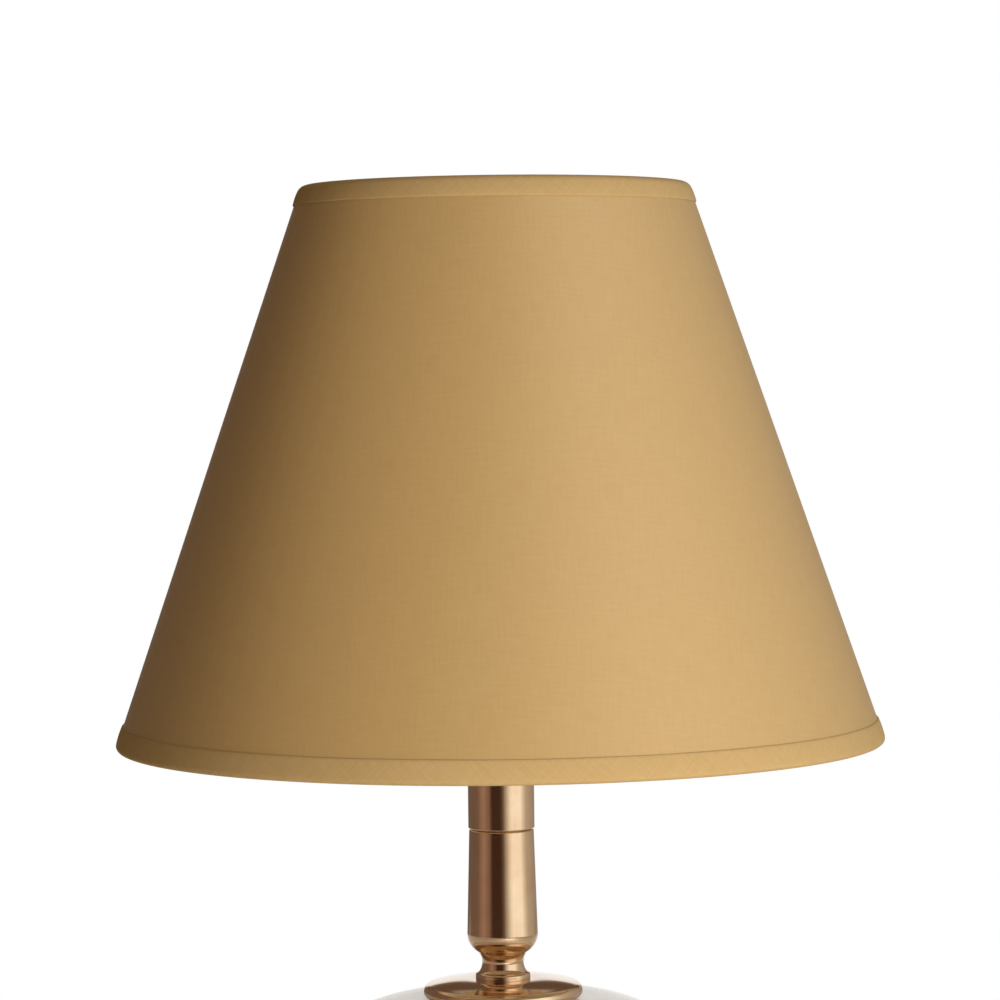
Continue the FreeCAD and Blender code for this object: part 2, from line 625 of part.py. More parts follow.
# Collar: clamped on the tube by its thumbscrew, its flange carries the shade.
collar = turned("gallery_collar", "collarBase", [
    ("collarBore", "0"),
    ("collarRadius - collarEdge", "0"),
    ("collarRadius", "collarEdge"),
    ("collarRadius", "collarHeight - flangeThick"),
    ("flangeRadius - collarEdge", "collarHeight - flangeThick"),
    ("flangeRadius", "collarHeight - flangeThick + collarEdge"),
    ("flangeRadius", "collarHeight - collarEdge"),
    ("flangeRadius - collarEdge", "collarHeight"),
    ("collarBore", "collarHeight")])
boss_ring = new_sketch(collar, "boss_ring")
draw_circle(boss_ring, "bossRadius", "0", "screwLevel")
boss_pad = pad(collar, boss_ring, "bossReach")
boss_pad.Reversed = True
bore_ring = new_sketch(collar, "bore_ring", "XY_Plane")
draw_circle(bore_ring, "collarBore")
bore_cut = collar.newObject("PartDesign::Pocket", "bore_cut")
bore_cut.Profile = bore_ring
bore_cut.Reversed = True
bore_cut.setExpression("Length", full("collarHeight"))
screw_ring = new_sketch(collar, "screw_ring")
draw_circle(screw_ring, "screwRadius + runningPlay", "0", "screwLevel")
screw_cut = collar.newObject("PartDesign::Pocket", "screw_cut")
screw_cut.Profile = screw_ring
screw_cut.Reversed = False
screw_cut.setExpression("Length", full("bossReach"))
parts.append(collar)

# Thumbscrew: its shank runs along Y through the boss, with a flat spade to turn it by.
screw = new_body("thumbscrew", "collarBase + screwLevel")
shank = new_sketch(screw, "shank", "XY_Plane")
draw(shank, [
    ("0", "screwStart"),
    ("screwRadius", "screwStart"),
    ("screwRadius", "bossReach + screwNeck"),
    ("0", "bossReach + screwNeck")])
spin(screw, shank)
spade = new_sketch(screw, "spade", "XY_Plane")
draw(spade, [
    ("screwRadius", "bossReach + screwNeck - screwRadius", "screwSpadeLength * spadeFlankShare", "left"),
    ("screwSpadeWidth / 2", "bossReach + screwNeck + screwSpadeLength / 2",
     "screwSpadeLength / 2", "left"),
    ("0", "bossReach + screwNeck + screwSpadeLength * spadeTipShare", "screwSpadeLength / 2", "left"),
    ("-screwSpadeWidth / 2", "bossReach + screwNeck + screwSpadeLength / 2",
     "screwSpadeLength * spadeFlankShare", "left"),
    ("-screwRadius", "bossReach + screwNeck - screwRadius")])
pad(screw, spade, "screwSpadeThick", True)
parts.append(screw)

# Shade frame: a ring on the collar's flange, three arms and the two wires.
parts.append(washer("shade_ring", "collarTop", "ringBore", "ringRadius", "ringThick"))

arms = new_body("shade_arms", "collarTop", "armTurn")
arms.AllowCompound = True
arm_path = new_sketch(arms, "arm_path")
draw(arm_path, [
    ("armStart", "ringRise"),
    ("armBendX - armTangent", "ringRise", "armBend", "left"),
    ("armBendX + armTangent * cos(armLean)", "ringRise + armTangent * sin(armLean)"),
    ("armEndX - wireRadius * cos(armLean)", "armEndZ - wireRadius * sin(armLean)")], False)
arm_ring = new_sketch(arms, "arm_ring", "YZ_Plane")
arm_ring.setExpression("AttachmentOffset.Base.z", full("armStart"))
draw_circle(arm_ring, "armRadius", "0", "ringRise")
arm_pipe = arms.newObject("PartDesign::AdditivePipe", "arm_pipe")
arm_pipe.Profile = arm_ring
arm_pipe.Spine = (arm_path, ["Edge1", "Edge2", "Edge3"])
around(arms, "arms_around", [arm_pipe], "armCount")
parts.append(arms)


def wire_ring(label, level, radius):
    wire = doc.addObject("Part::Torus", label)
    wire.Label = label
    wire.setExpression("Radius1", full(radius + " - wireSet"))
    wire.setExpression("Radius2", full("wireRadius"))
    wire.setExpression("Placement.Base.z", full(level))
    return wire


parts.append(wire_ring("top_wire", "shadeTop", "shadeTopRadius"))
parts.append(wire_ring("bottom_wire", "shadeLevel", "shadeBottomRadius"))


# Shade skin: a cone from wire to wire, so far in from the shade's face and so thick.
def cone_skin(label, inset, thick):
    return turned(label, "shadeLevel", [
        ("shadeBottomRadius - %s - %s" % (inset, thick), "0"),
        ("shadeBottomRadius - %s" % inset, "0"),
        ("shadeTopRadius - %s" % inset, "shadeHeight"),
        ("shadeTopRadius - %s - %s" % (inset, thick), "shadeHeight")])


parts.append(cone_skin("shade_liner", "coverThick", "linerThick"))
parts.append(cone_skin("shade_cover", "0", "coverThick"))


# Trim: a band on the face, rolled round the card's edge and the wire, and glued down inside.
def trim(label, level, radius, band, sign, outward, inward):
    def spot(inset, height):
        return ("%s - (%s) - %d * shadeSlope * (%s)" % (radius, inset, sign, height),
                "%d * (%s)" % (sign, height))

    middle = radius + " - rollWidth / 2"
    tuck, rise, lap = "trimTuck", "trimTuck + trimRise", "trimTuck + trimRise + trimLap"
    outer, inner = "rollWidth / 2 + trimThick", "rollWidth / 2"
    return turned(label, level, [
        spot("0", band),
        spot("-trimThick", band),
        spot("-trimThick", "0") + (outer, outward),
        (middle, "-%d * (%s)" % (sign, outer), outer, outward),
        spot("rollWidth + trimThick", "0"),
        spot("rollWidth + trimThick", tuck),
        spot("shadeWall + trimThick", rise),
        spot("shadeWall + trimThick", lap),
        spot("shadeWall", lap),
        spot("shadeWall", rise),
        spot("rollWidth", tuck),
        spot("rollWidth", "0") + (inner, inward),
        (middle, "-%d * (%s)" % (sign, inner), inner, inward),
        spot("0", "0")])


parts.append(trim("bottom_trim", "shadeLevel", "shadeBottomRadius", "bottomBand", 1, "right", "left"))
parts.append(trim("top_trim", "shadeTop", "shadeTopRadius", "topBand", -1, "left", "right"))

doc.recompute()

# Every object and every cut is tested before anything is written.
for thing in doc.Objects:
    if "Invalid" in thing.State or "Error" in thing.State:
        raise SystemExit("%s is not sound: %s" % (thing.Label, thing.State))
    if thing.TypeId in ("PartDesign::Pocket", "PartDesign::Groove"):
        if thing.Shape.Volume >= thing.BaseFeature.Shape.Volume:
            raise SystemExit(thing.Label + " cuts nothing")
for part in parts:
    if part.Shape.isNull() or not part.Shape.isValid() or not part.Shape.Solids:
        raise SystemExit(part.Label + " has no sound solid")

os.makedirs("parts", exist_ok=True)
for part in parts:
    part.Shape.exportStep("parts/%s.step" % part.Label)
    box = part.Shape.BoundBox
    print("%-14s %d solid, %9.0f mm3, z %6.1f to %6.1f, reach %5.1f"
          % (part.Label, len(part.Shape.Solids), part.Shape.Volume, box.ZMin, box.ZMax, box.XMax))
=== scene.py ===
import math

import bpy
from mathutils import Matrix, Vector, noise


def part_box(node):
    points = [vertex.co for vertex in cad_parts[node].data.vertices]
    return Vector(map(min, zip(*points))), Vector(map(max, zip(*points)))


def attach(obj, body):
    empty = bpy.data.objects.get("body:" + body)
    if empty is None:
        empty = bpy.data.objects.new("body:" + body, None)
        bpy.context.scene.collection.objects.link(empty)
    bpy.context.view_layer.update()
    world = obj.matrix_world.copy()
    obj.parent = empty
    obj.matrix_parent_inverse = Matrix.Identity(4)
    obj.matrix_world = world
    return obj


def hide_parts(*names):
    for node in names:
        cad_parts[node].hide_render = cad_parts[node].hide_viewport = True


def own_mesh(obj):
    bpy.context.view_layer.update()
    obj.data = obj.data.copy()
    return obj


# Candle lamp with shade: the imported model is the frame, and the pieces below dress it.
# Outlines are in millimetres, (radius, height above the node's base).

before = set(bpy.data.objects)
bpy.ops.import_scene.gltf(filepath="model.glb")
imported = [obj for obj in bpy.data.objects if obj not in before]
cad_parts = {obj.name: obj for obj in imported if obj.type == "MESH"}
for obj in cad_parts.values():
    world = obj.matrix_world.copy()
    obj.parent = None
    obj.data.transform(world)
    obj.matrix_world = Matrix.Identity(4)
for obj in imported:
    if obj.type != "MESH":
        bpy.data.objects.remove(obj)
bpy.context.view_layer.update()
mm = 0.001
waveStep = math.tau / 20  # a wave texture's scale, times the spacing that it gives
meshSize = {"weld": 0.01, "fineWeld": 0.001, "bevelFrom": 38, "smooth": 35, "wireSmooth": 40,
            "trimSmooth": 50}  # welds in millimetres, angles in degrees


# Turns an sRGB hex colour to linear.
def srgb(code):
    parts = [int(code[at:at + 2], 16) / 255 for at in (1, 3, 5)]
    return [part / 12.92 if part <= 0.04045 else ((part + 0.055) / 1.055) ** 2.4
            for part in parts] + [1.0]


# Adds one node: settings go to its properties, sockets or ramp stops, links join sockets to it,
# and its first output goes into a socket.
def addNode(tree, kind, settings=None, links=None, into=None):
    node = tree.nodes.new("ShaderNode" + kind)
    for key, value in (settings or {}).items():
        if key == "stops":
            stops = node.color_ramp.elements
            while len(stops) < len(value):
                stops.new(1)
            for stop, (place, colour) in zip(stops, value):
                stop.position, stop.color = place, colour
        elif isinstance(key, str) and hasattr(node, key):
            setattr(node, key, value)
        else:
            node.inputs[key].default_value = value
    for key, source in (links or {}).items():
        tree.links.new(source, node.inputs[key])
    if into:
        tree.links.new(node.outputs[0], into)
    return node


# A material with its shader's own values set.
def newFinish(name, values):
    material = bpy.data.materials.new(name)
    material.use_nodes = True
    shader = material.node_tree.nodes["Principled BSDF"]
    for key, value in values.items():
        shader.inputs[key].default_value = value
    return material, material.node_tree, shader


# A finish with one texture, its grain in millimetres. It tones the colour between two, and can
# wear the gloss or raise the surface by so many millimetres.
def patternedFinish(name, values, texture, grain, tones, settings=None, wear=None, raised=None,
                    slant=0.0):
    finish, tree, shader = newFinish(name, values)
    place = addNode(tree, "TexCoord").outputs["Object"]
    if slant:
        place = addNode(tree, "Mapping", {"Rotation": (0, math.radians(slant), 0)},
                        {"Vector": place}).outputs[0]
    wave = texture == "TexWave"
    scale = (waveStep if wave else 1) / (grain * mm)
    pattern = addNode(tree, texture, {"Scale": scale, **(settings or {})}, {"Vector": place})
    pattern = pattern.outputs["Fac" if wave else 0]
    addNode(tree, "ValToRGB", {"stops": [(at, srgb(code)) for at, code in tones]},
            {"Fac": pattern}, shader.inputs["Base Color"])
    if wear:
        addNode(tree, "MapRange", {"To Min": wear[0], "To Max": wear[1]}, {"Value": pattern},
                shader.inputs["Roughness"])
    if raised:
        addNode(tree, "Bump", {"Strength": raised[0], "Distance": raised[1] * mm},
                {"Height": pattern}, shader.inputs["Normal"])
    return finish


def clearSelection():
    if bpy.context.object and bpy.context.object.mode != "OBJECT":
        bpy.ops.object.mode_set(mode="OBJECT")
    bpy.ops.object.select_all(action="DESELECT")


# The piece that was just made, named.
def madePiece(name):
    piece = bpy.context.object
    piece.name = piece.data.name = name
    return piece


# Selects these pieces alone. The first is the active one.
def pick(*pieces):
    clearSelection()
    for piece in pieces:
        piece.select_set(True)
    bpy.context.view_layer.objects.active = pieces[0]


# Turns the active piece's faces outwards, after its doubles are merged and its holes closed.
def faceOutwards(weld=0.0, holes=False):
    bpy.ops.object.mode_set(mode="EDIT")
    bpy.ops.mesh.select_all(action="SELECT")
    if weld:
        bpy.ops.mesh.remove_doubles(threshold=weld * mm)
    if holes:
        bpy.ops.mesh.fill_holes(sides=0)
        bpy.ops.mesh.select_all(action="SELECT")
    bpy.ops.mesh.normals_make_consistent(inside=False)
    bpy.ops.object.mode_set(mode="OBJECT")


# Values at even steps from the first to the last.
def spread(first, last, steps):
    return [first + (last - first) * step / steps for step in range(steps + 1)]


# Places on an arc between two outline points, bending to the left or right of the way.
def arc(start, end, radius, side, steps=10):
    a, b = Vector(start), Vector(end)
    half = (b - a) / 2
    reach = math.sqrt(max(radius ** 2 - half.length_squared, 0))
    left = Vector((-half.y, half.x)).normalized()
    centre = a + half + left * (reach if side == "left" else -reach)
    first, last = a - centre, b - centre
    turn = first.angle_signed(last) * -1
    points = []
    for step in range(1, steps):
        spoke = Matrix.Rotation(turn * step / steps, 2) @ first
        points.append(tuple(centre + spoke))
    return points


# A turned piece: its outline is drawn by extruding one vertex and spun round the axis.
def turnPiece(name, level, outline, steps=96, closed=False, edge=0.15):
    clearSelection()
    radius, height = outline[0]
    bpy.ops.mesh.primitive_plane_add(size=mm, location=(radius * mm, 0, level + height * mm))
    piece = madePiece(name)
    bpy.ops.object.mode_set(mode="EDIT")
    bpy.ops.mesh.merge(type="CENTER")
    bpy.ops.mesh.select_all(action="SELECT")
    path = outline[1:] + ([outline[0]] if closed else [])
    here = Vector(outline[0])
    for point in path:
        move = (Vector(point) - here) * mm
        bpy.ops.mesh.extrude_region_move(TRANSFORM_OT_translate={"value": (move.x, 0, move.y)})
        here = Vector(point)
    bpy.ops.mesh.select_all(action="SELECT")
    bpy.ops.mesh.spin(steps=steps, angle=math.tau, center=(0, 0, 0), axis=(0, 0, 1))
    bpy.ops.mesh.select_all(action="SELECT")
    bpy.ops.mesh.remove_doubles(threshold=meshSize["weld"] * mm)
    bpy.ops.mesh.delete_loose()
    faceOutwards()
    bpy.ops.object.transform_apply(location=True, rotation=True, scale=True)
    if edge:
        softenEdges(piece, edge)
    smoothFaces(piece)
    return piece


# Rounds the sharp edges of a piece by so many millimetres.
def softenEdges(piece, width, steps=2):
    pick(piece)
    bevel = piece.modifiers.new("edges", "BEVEL")
    bevel.width = width * mm
    bevel.segments = steps
    bevel.limit_method = "ANGLE"
    bevel.angle_limit = math.radians(meshSize["bevelFrom"])
    bpy.ops.object.modifier_apply(modifier=bevel.name)


# Lets the large faces set the shading, so a small rounded edge doesn't bend their reflections.
def smoothFaces(piece):
    pick(piece)
    bpy.ops.object.shade_smooth_by_angle(angle=math.radians(meshSize["smooth"]))
    level = piece.modifiers.new("level", "WEIGHTED_NORMAL")
    level.keep_sharp = True
    level.weight = 100  # by area alone
    bpy.ops.object.modifier_apply(modifier=level.name)


# Gives a piece its finish and its body, and hides the node that it stands for.
def fit(piece, finish, body, node):
    piece.data.materials.clear()
    piece.data.materials.append(finish)
    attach(piece, body)
    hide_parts(node)


def nodeBase(node):
    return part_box(node)[0].z


print("frame loaded:", len(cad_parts), "nodes")

# Polished brass: turned, buffed and lacquered, so it mirrors the room in a warm, rosy gold.
brassFinish = {"colour": "#F0D2AC", "tarnish": "#E2B98C", "cloud": 14.0, "roughness": 0.075,
               "wear": 0.05, "buffMarks": 0.35, "relief": 0.02, "deep": 0.02, "lacquer": 0.8}
size = brassFinish
polishedBrass, tree, shader = newFinish("polishedBrass", {
    "Metallic": 1.0, "Coat Weight": size["lacquer"], "Coat Roughness": 0.04})
place = addNode(tree, "TexCoord").outputs["Object"]
cloud = addNode(tree, "TexNoise", {"Scale": 1 / (size["cloud"] * mm), "Detail": 3.0},
                {"Vector": place}).outputs[0]
addNode(tree, "ValToRGB", {"stops": [(0.35, srgb(size["colour"])), (0.8, srgb(size["tarnish"]))]},
        {"Fac": cloud}, shader.inputs["Base Color"])
addNode(tree, "MapRange", {"To Min": size["roughness"], "To Max": size["roughness"] + size["wear"]},
        {"Value": cloud}, shader.inputs["Roughness"])
# Buffing leaves faint rings round the axis, drawn at 0.35 mm, a little coarser than they are.
rings = addNode(tree, "TexWave", {
    "bands_direction": "Z", "Scale": waveStep / (size["buffMarks"] * mm), "Distortion": 2.5,
    "Detail": 2.0, "Detail Scale": 0.4}, {"Vector": place})
addNode(tree, "Bump", {"Strength": size["relief"], "Distance": size["deep"] * mm},
        {"Height": rings.outputs["Fac"]}, shader.inputs["Normal"])

# Plain brass: machined and left as cut, so it is yellower and duller than the polished outside.
plainBrass = patternedFinish("machinedBrass", {"Metallic": 1.0}, "TexWave", grain=0.4,
                             settings={"bands_direction": "Z", "Distortion": 1.5},
                             tones=((0.2, "#C79F62"), (0.9, "#D9B579")), wear=(0.24, 0.36))

# Brassed steel wire: drawn, then plated, so it is bright with faint draw marks.
brassedWire = patternedFinish("brassedWire", {"Metallic": 1.0}, "TexNoise", grain=2.5,
                              settings={"Detail": 4.0}, tones=((0.3, "#CDA566"), (0.75, "#DDBB82")),
                              wear=(0.18, 0.32))

# Zinc-plated steel: turned, then plated, so small crystals break up its light grey shine.
zincSteel = patternedFinish("zincPlatedSteel", {"Metallic": 1.0, "Roughness": 0.34}, "TexVoronoi",
                            grain=1.2, tones=((0.1, "#A5A9AC"), (0.9, "#C3C7C9")))

# Spring steel: wire drawn hard, blued and oiled, so it is a darker grey with a tighter shine.
springSteel = patternedFinish("springSteel", {"Metallic": 1.0, "Roughness": 0.28}, "TexVoronoi",
                              grain=0.8, tones=((0.1, "#6F7276"), (0.9, "#94979B")))

# White glazed stoneware: clear glossy glaze on a white slip, gently uneven where it ran.
glazeFinish = {"thin": "#EDEBE7", "thick": "#F5F4F1", "pooling": 35.0, "ripple": 9.0,
               "relief": 0.12, "deep": 0.3}
size = glazeFinish
whiteGlaze, tree, shader = newFinish("whiteGlaze", {
    "Roughness": 0.08, "IOR": 1.5, "Coat Weight": 0.4, "Coat Roughness": 0.03})
place = addNode(tree, "TexCoord").outputs["Object"]
pooling = addNode(tree, "TexNoise", {"Scale": 1 / (size["pooling"] * mm), "Detail": 4.0},
                  {"Vector": place})
addNode(tree, "ValToRGB", {"stops": [(0.3, srgb(size["thin"])), (0.7, srgb(size["thick"]))]},
        {"Fac": pooling.outputs[0]}, shader.inputs["Base Color"])
ripple = addNode(tree, "TexNoise", {"Scale": 1 / (size["ripple"] * mm), "Detail": 2.0},
                 {"Vector": place})
addNode(tree, "Bump", {"Strength": size["relief"], "Distance": size["deep"] * mm},
        {"Height": ripple.outputs[0]}, shader.inputs["Normal"])

# Pressed cork: ground bark pressed into a sheet, light granules between darker bark.
corkSheet = patternedFinish("pressedCork", {"Roughness": 0.9}, "TexVoronoi", grain=1.5,
                            tones=((0.1, "#B98A5A"), (0.8, "#6E4B2C")))

# Wool felt: matted fibres with no thread lines, and a soft nap.
woolFelt = patternedFinish(
    "woolFelt", {"Roughness": 1.0, "Sheen Weight": 0.3, "Sheen Roughness": 0.6}, "TexNoise",
    grain=0.9, settings={"Detail": 6.0, "Roughness": 0.7},
    tones=((0.3, "#223A2C"), (0.7, "#3A5B46")), raised=(0.5, 0.4))

# Stearin candle: cast ivory wax that light enters a little, with faint cooling marks.
candleWax = patternedFinish(
    "stearinWax", {"Roughness": 0.36, "IOR": 1.44, "Subsurface Weight": 0.3,
                   "Subsurface Radius": (3.0, 2.0, 1.2), "Subsurface Scale": mm}, "TexNoise",
    grain=7.0, settings={"Detail": 3.0}, tones=((0.3, "#EDE5D2"), (0.7, "#F6F0E2")))

# Cotton wick, braided and waxed: a slanting braid, cream with darker gaps.
cottonWick = patternedFinish("cottonWick", {"Roughness": 0.85}, "TexWave", grain=0.7,
                             settings={"bands_direction": "Z"}, slant=35.0,
                             tones=((0.1, "#C9C0AC"), (0.8, "#EFEADC")), raised=(0.6, 0.2))

# Shade card: styrene-backed card, off-white, with a fine paper tooth.
shadeCard = patternedFinish("shadeCard", {"Roughness": 0.6, "IOR": 1.5}, "TexNoise", grain=0.6,
                            settings={"Detail": 3.0}, tones=((0.3, "#E9E2D2"), (0.7, "#F1EBDD")),
                            raised=(0.1, 0.05))


# Woven cloth of the shade, read from its flat layout in metres, so the threads follow the cut.
def wovenCloth(name, values, threads, colours, turn=0.0):
    cloth, tree, shader = newFinish(name, values)
    flat = addNode(tree, "UVMap", {"uv_map": "flat"})
    cut = addNode(tree, "Mapping", {"Rotation": (0, 0, math.radians(turn))},
                  {"Vector": flat.outputs["UV"]})
    slubs = []
    for along in (0, 1):  # warp, then weft: each thread swells and thins along its length
        stretch = [1 / (threads["slubLong"] * mm)] * 2 + [1.0]
        stretch[along] = 1 / (threads["slubWide"] * mm)
        thread = addNode(tree, "Mapping", {"Scale": stretch}, {"Vector": cut.outputs[0]})
        slubs.append(addNode(tree, "TexNoise", {"Scale": 1.0, "Detail": 3.0},
                             {"Vector": thread.outputs[0]}).outputs[0])
    both = addNode(tree, "Math", {"operation": "ADD"}, {0: slubs[0], 1: slubs[1]})
    half = addNode(tree, "Math", {"operation": "MULTIPLY", 1: 0.5}, {0: both.outputs[0]})
    toning = addNode(tree, "ValToRGB", {"stops": [(0.36, srgb(colours[0])),
                                                  (0.64, srgb(colours[1]))]},
                     {"Fac": half.outputs[0]})
    weave = []
    for direction in "XY":
        weave.append(addNode(tree, "TexWave", {
            "bands_direction": direction, "Scale": waveStep / (threads["spacing"] * mm)},
            {"Vector": cut.outputs[0]}).outputs["Fac"])
    over = addNode(tree, "Math", {"operation": "MAXIMUM"}, {0: weave[0], 1: weave[1]})
    shade = addNode(tree, "MapRange", {"To Min": threads["gapDark"], "To Max": 1.0},
                    {"Value": over.outputs[0]})
    woven = addNode(tree, "Mix", {"data_type": "RGBA", "blend_type": "MULTIPLY", 0: 1.0},
                    {6: toning.outputs["Color"], 7: shade.outputs[0]})
    tree.links.new(woven.outputs[2], shader.inputs["Base Color"])
    raised = addNode(tree, "Math", {"operation": "ADD"}, {0: over.outputs[0], 1: half.outputs[0]})
    addNode(tree, "Bump", {"Strength": threads["relief"], "Distance": threads["deep"] * mm},
            {"Height": raised.outputs[0]}, shader.inputs["Normal"])
    return cloth


# Silky cotton of the shade: a plain weave with a broad soft lustre. Its threads are drawn at
# 0.8 mm, coarser than they are, so that they show.
shadeCloth = wovenCloth("silkyCotton", {"Roughness": 0.46, "Specular IOR Level": 1.0},
                        {"spacing": 0.8, "slubLong": 9.0, "slubWide": 1.1, "gapDark": 0.96,
                         "relief": 0.10, "deep": 0.08}, ("#BF9C63", "#C4A26A"))
# Its trim: the same cotton cut on the bias and folded, so it is matt and a shade paler.
trimCloth = wovenCloth("biasCotton", {"Roughness": 0.9, "Specular IOR Level": 0.15},
                       {"spacing": 0.8, "slubLong": 10.0, "slubWide": 0.9, "gapDark": 0.95,
                        "relief": 0.15, "deep": 0.08}, ("#C0A06B", "#C6A776"), turn=45.0)

print("finishes made:", len(bpy.data.materials))

# Stand, from the felt up.
feltSize = {"radius": 46.0, "thick": 2.0, "edge": 0.5}
size = feltSize
feltPad = turnPiece("feltPad", nodeBase("felt_pad"), [
    (0, 0), (size["radius"], 0), (size["radius"], size["thick"]), (0, size["thick"])],
    edge=size["edge"])
fit(feltPad, woolFelt, "stand", "felt_pad")

footSize = {"radius": 50.0, "height": 26.0, "roll": 9.0, "step": 4.0, "fillet": 1.2, "lip": 5.0,
            "lipWall": 3.2, "seat": 40.3, "seatDeep": 1.5, "recess": 31.0, "recessDeep": 14.0,
            "bore": 4.3}
size = footSize
rollEdge = size["radius"] - size["roll"] / 2
rollMiddle, rollTop = (size["radius"], size["roll"] / 2), (rollEdge, size["roll"])
neckTop = size["height"] - size["lip"]
scotiaTop = (size["seat"] + size["fillet"], neckTop - size["fillet"])
scotiaLow = (rollEdge - size["step"] / 2, size["roll"] + size["fillet"])
lipStart = (size["seat"] + size["lipWall"] - size["fillet"], neckTop)
lipEnd = (lipStart[0], size["height"])
footTurned = turnPiece("footTurned", nodeBase("foot"), [
    (size["bore"], size["recessDeep"]), (size["recess"], size["recessDeep"]), (size["recess"], 0),
    (rollEdge, 0),
    *arc((rollEdge, 0), rollMiddle, size["roll"] / 2, "left"), rollMiddle,
    *arc(rollMiddle, rollTop, size["roll"] / 2, "left"), rollTop,
    (rollEdge, size["roll"] + size["fillet"]), scotiaLow,
    *arc(scotiaLow, scotiaTop, size["height"] - size["roll"], "right", steps=14),
    scotiaTop, (scotiaTop[0], neckTop), lipStart,
    *arc(lipStart, lipEnd, size["lip"] / 2 + size["fillet"], "left"),
    lipEnd, (size["seat"], size["height"]), (size["seat"], size["height"] - size["seatDeep"]),
    (size["bore"], size["height"] - size["seatDeep"])], steps=160, closed=True)
fit(footTurned, polishedBrass, "stand", "foot")

jarSize = {"height": 208.8, "belly": 85.0, "shoulder": 50.0, "low": 41.6, "base": 40.0,
           "ring": 3.0, "flareTop": 18.0, "flareRound": 16.0, "edge": 1.2, "wall": 6.0,
           "floor": 8.0, "hole": 6.5}
size = jarSize
bellyTop = size["height"] - size["shoulder"]
land = size["belly"] - size["shoulder"]
rise, inset = bellyTop - size["flareTop"], size["belly"] - size["low"]
flank = (rise ** 2 + inset ** 2) / (2 * inset)
innerFlank = flank - size["wall"]
innerLow = size["flareTop"] + size["wall"]
innerLowRadius = size["belly"] - flank + math.sqrt(innerFlank ** 2 - (bellyTop - innerLow) ** 2)
belly, shoulderTop = (size["belly"], bellyTop), (land, size["height"])
lowPoint, ringTop = (size["low"], size["flareTop"]), (size["base"], size["ring"])
ringLow, ringSide = (size["base"] - size["edge"], 0), (size["base"], size["edge"])
innerTop = (land, size["height"] - size["wall"])
innerBelly = (size["belly"] - size["wall"], bellyTop)
jarGlazed = turnPiece("jarGlazed", nodeBase("jar"), [
    (size["hole"], 0), ringLow,
    *arc(ringLow, ringSide, size["edge"], "left", steps=5), ringSide, ringTop,
    *arc(ringTop, lowPoint, size["flareRound"], "right", steps=12), lowPoint,
    *arc(lowPoint, belly, flank, "left", steps=40), belly,
    *arc(belly, shoulderTop, size["shoulder"], "left", steps=32), shoulderTop,
    (size["hole"], size["height"]), (size["hole"], size["height"] - size["wall"]), innerTop,
    *arc(innerTop, innerBelly, size["shoulder"] - size["wall"], "right", steps=16), innerBelly,
    *arc(innerBelly, (innerLowRadius, innerLow), innerFlank, "right", steps=16),
    (innerLowRadius, innerLow), (size["base"] - size["wall"], size["floor"]),
    (size["hole"], size["floor"])], steps=192, closed=True, edge=0.4)
fit(jarGlazed, whiteGlaze, "stand", "jar")

gasketSize = {"radius": 24.0, "thick": 0.8, "bore": 4.3}
size = gasketSize
corkRing = turnPiece("corkRing", nodeBase("pan_gasket"), [
    (size["bore"], 0), (size["radius"], 0), (size["radius"], size["thick"]),
    (size["bore"], size["thick"])], closed=True)
fit(corkRing, corkSheet, "stand", "pan_gasket")

panSize = {"radius": 30.0, "rim": 5.0, "rise": 2.0, "dome": 70.0, "land": 11.6, "bore": 4.3}
size = panSize
rimEdge = size["radius"] - size["rim"] / 2
rimMiddle, domeLow = (size["radius"], size["rim"] / 2), (rimEdge, size["rim"])
domeTop = (size["land"], size["rim"] + size["rise"])
dripPan = turnPiece("dripPan", nodeBase("drip_pan"), [
    (size["bore"], 0), (rimEdge, 0),
    *arc((rimEdge, 0), rimMiddle, size["rim"] / 2, "left"), rimMiddle,
    *arc(rimMiddle, domeLow, size["rim"] / 2, "left"), domeLow,
    *arc(domeLow, domeTop, size["dome"], "left"), domeTop,
    (size["bore"], domeTop[1])], steps=144, closed=True)
fit(dripPan, polishedBrass, "stand", "drip_pan")

nozzleSize = {"height": 56.4, "ring": 10.3, "ringHeight": 2.5, "ringRound": 1.2, "waist": 7.8,
              "waistHeight": 6.2, "waistRound": 6.0, "waistLower": 3.0, "waistUpper": 3.8,
              "cup": 13.3, "cupHeight": 17.2, "cupRound": 8.3, "mouth": 12.2, "edge": 0.4,
              "socket": 11.0, "socketDeep": 37.5, "rod": 4.0, "rodDeep": 13.0}
size = nozzleSize
root = size["waist"] + size["waistRound"]
waistLow = (root - math.sqrt(size["waistRound"] ** 2 - size["waistLower"] ** 2),
            size["waistHeight"] - size["waistLower"])
waistHigh = (root - math.sqrt(size["waistRound"] ** 2 - size["waistUpper"] ** 2),
             size["waistHeight"] + size["waistUpper"])
ringSide = (size["ring"], size["ringHeight"] - size["ringRound"])
ringTop = (size["ring"] - size["ringRound"], size["ringHeight"])
cup = (size["cup"], size["cupHeight"])
socketFloor = size["height"] - size["socketDeep"]
nozzleTurned = turnPiece("nozzleTurned", nodeBase("nozzle"), [
    (size["rod"], 0), (size["ring"], 0), ringSide,
    *arc(ringSide, ringTop, size["ringRound"], "left", steps=8), ringTop, waistLow,
    *arc(waistLow, waistHigh, size["waistRound"], "right", steps=14), waistHigh,
    *arc(waistHigh, cup, size["cupRound"], "left", steps=16), cup,
    (size["mouth"], size["height"] - size["edge"]),
    (size["mouth"] - size["edge"], size["height"]), (size["socket"], size["height"]),
    (size["socket"], socketFloor), (0, socketFloor), (0, size["rodDeep"]),
    (size["rod"], size["rodDeep"])], steps=128, closed=True, edge=0.12)
fit(nozzleTurned, polishedBrass, "stand", "nozzle")
print("stand made")

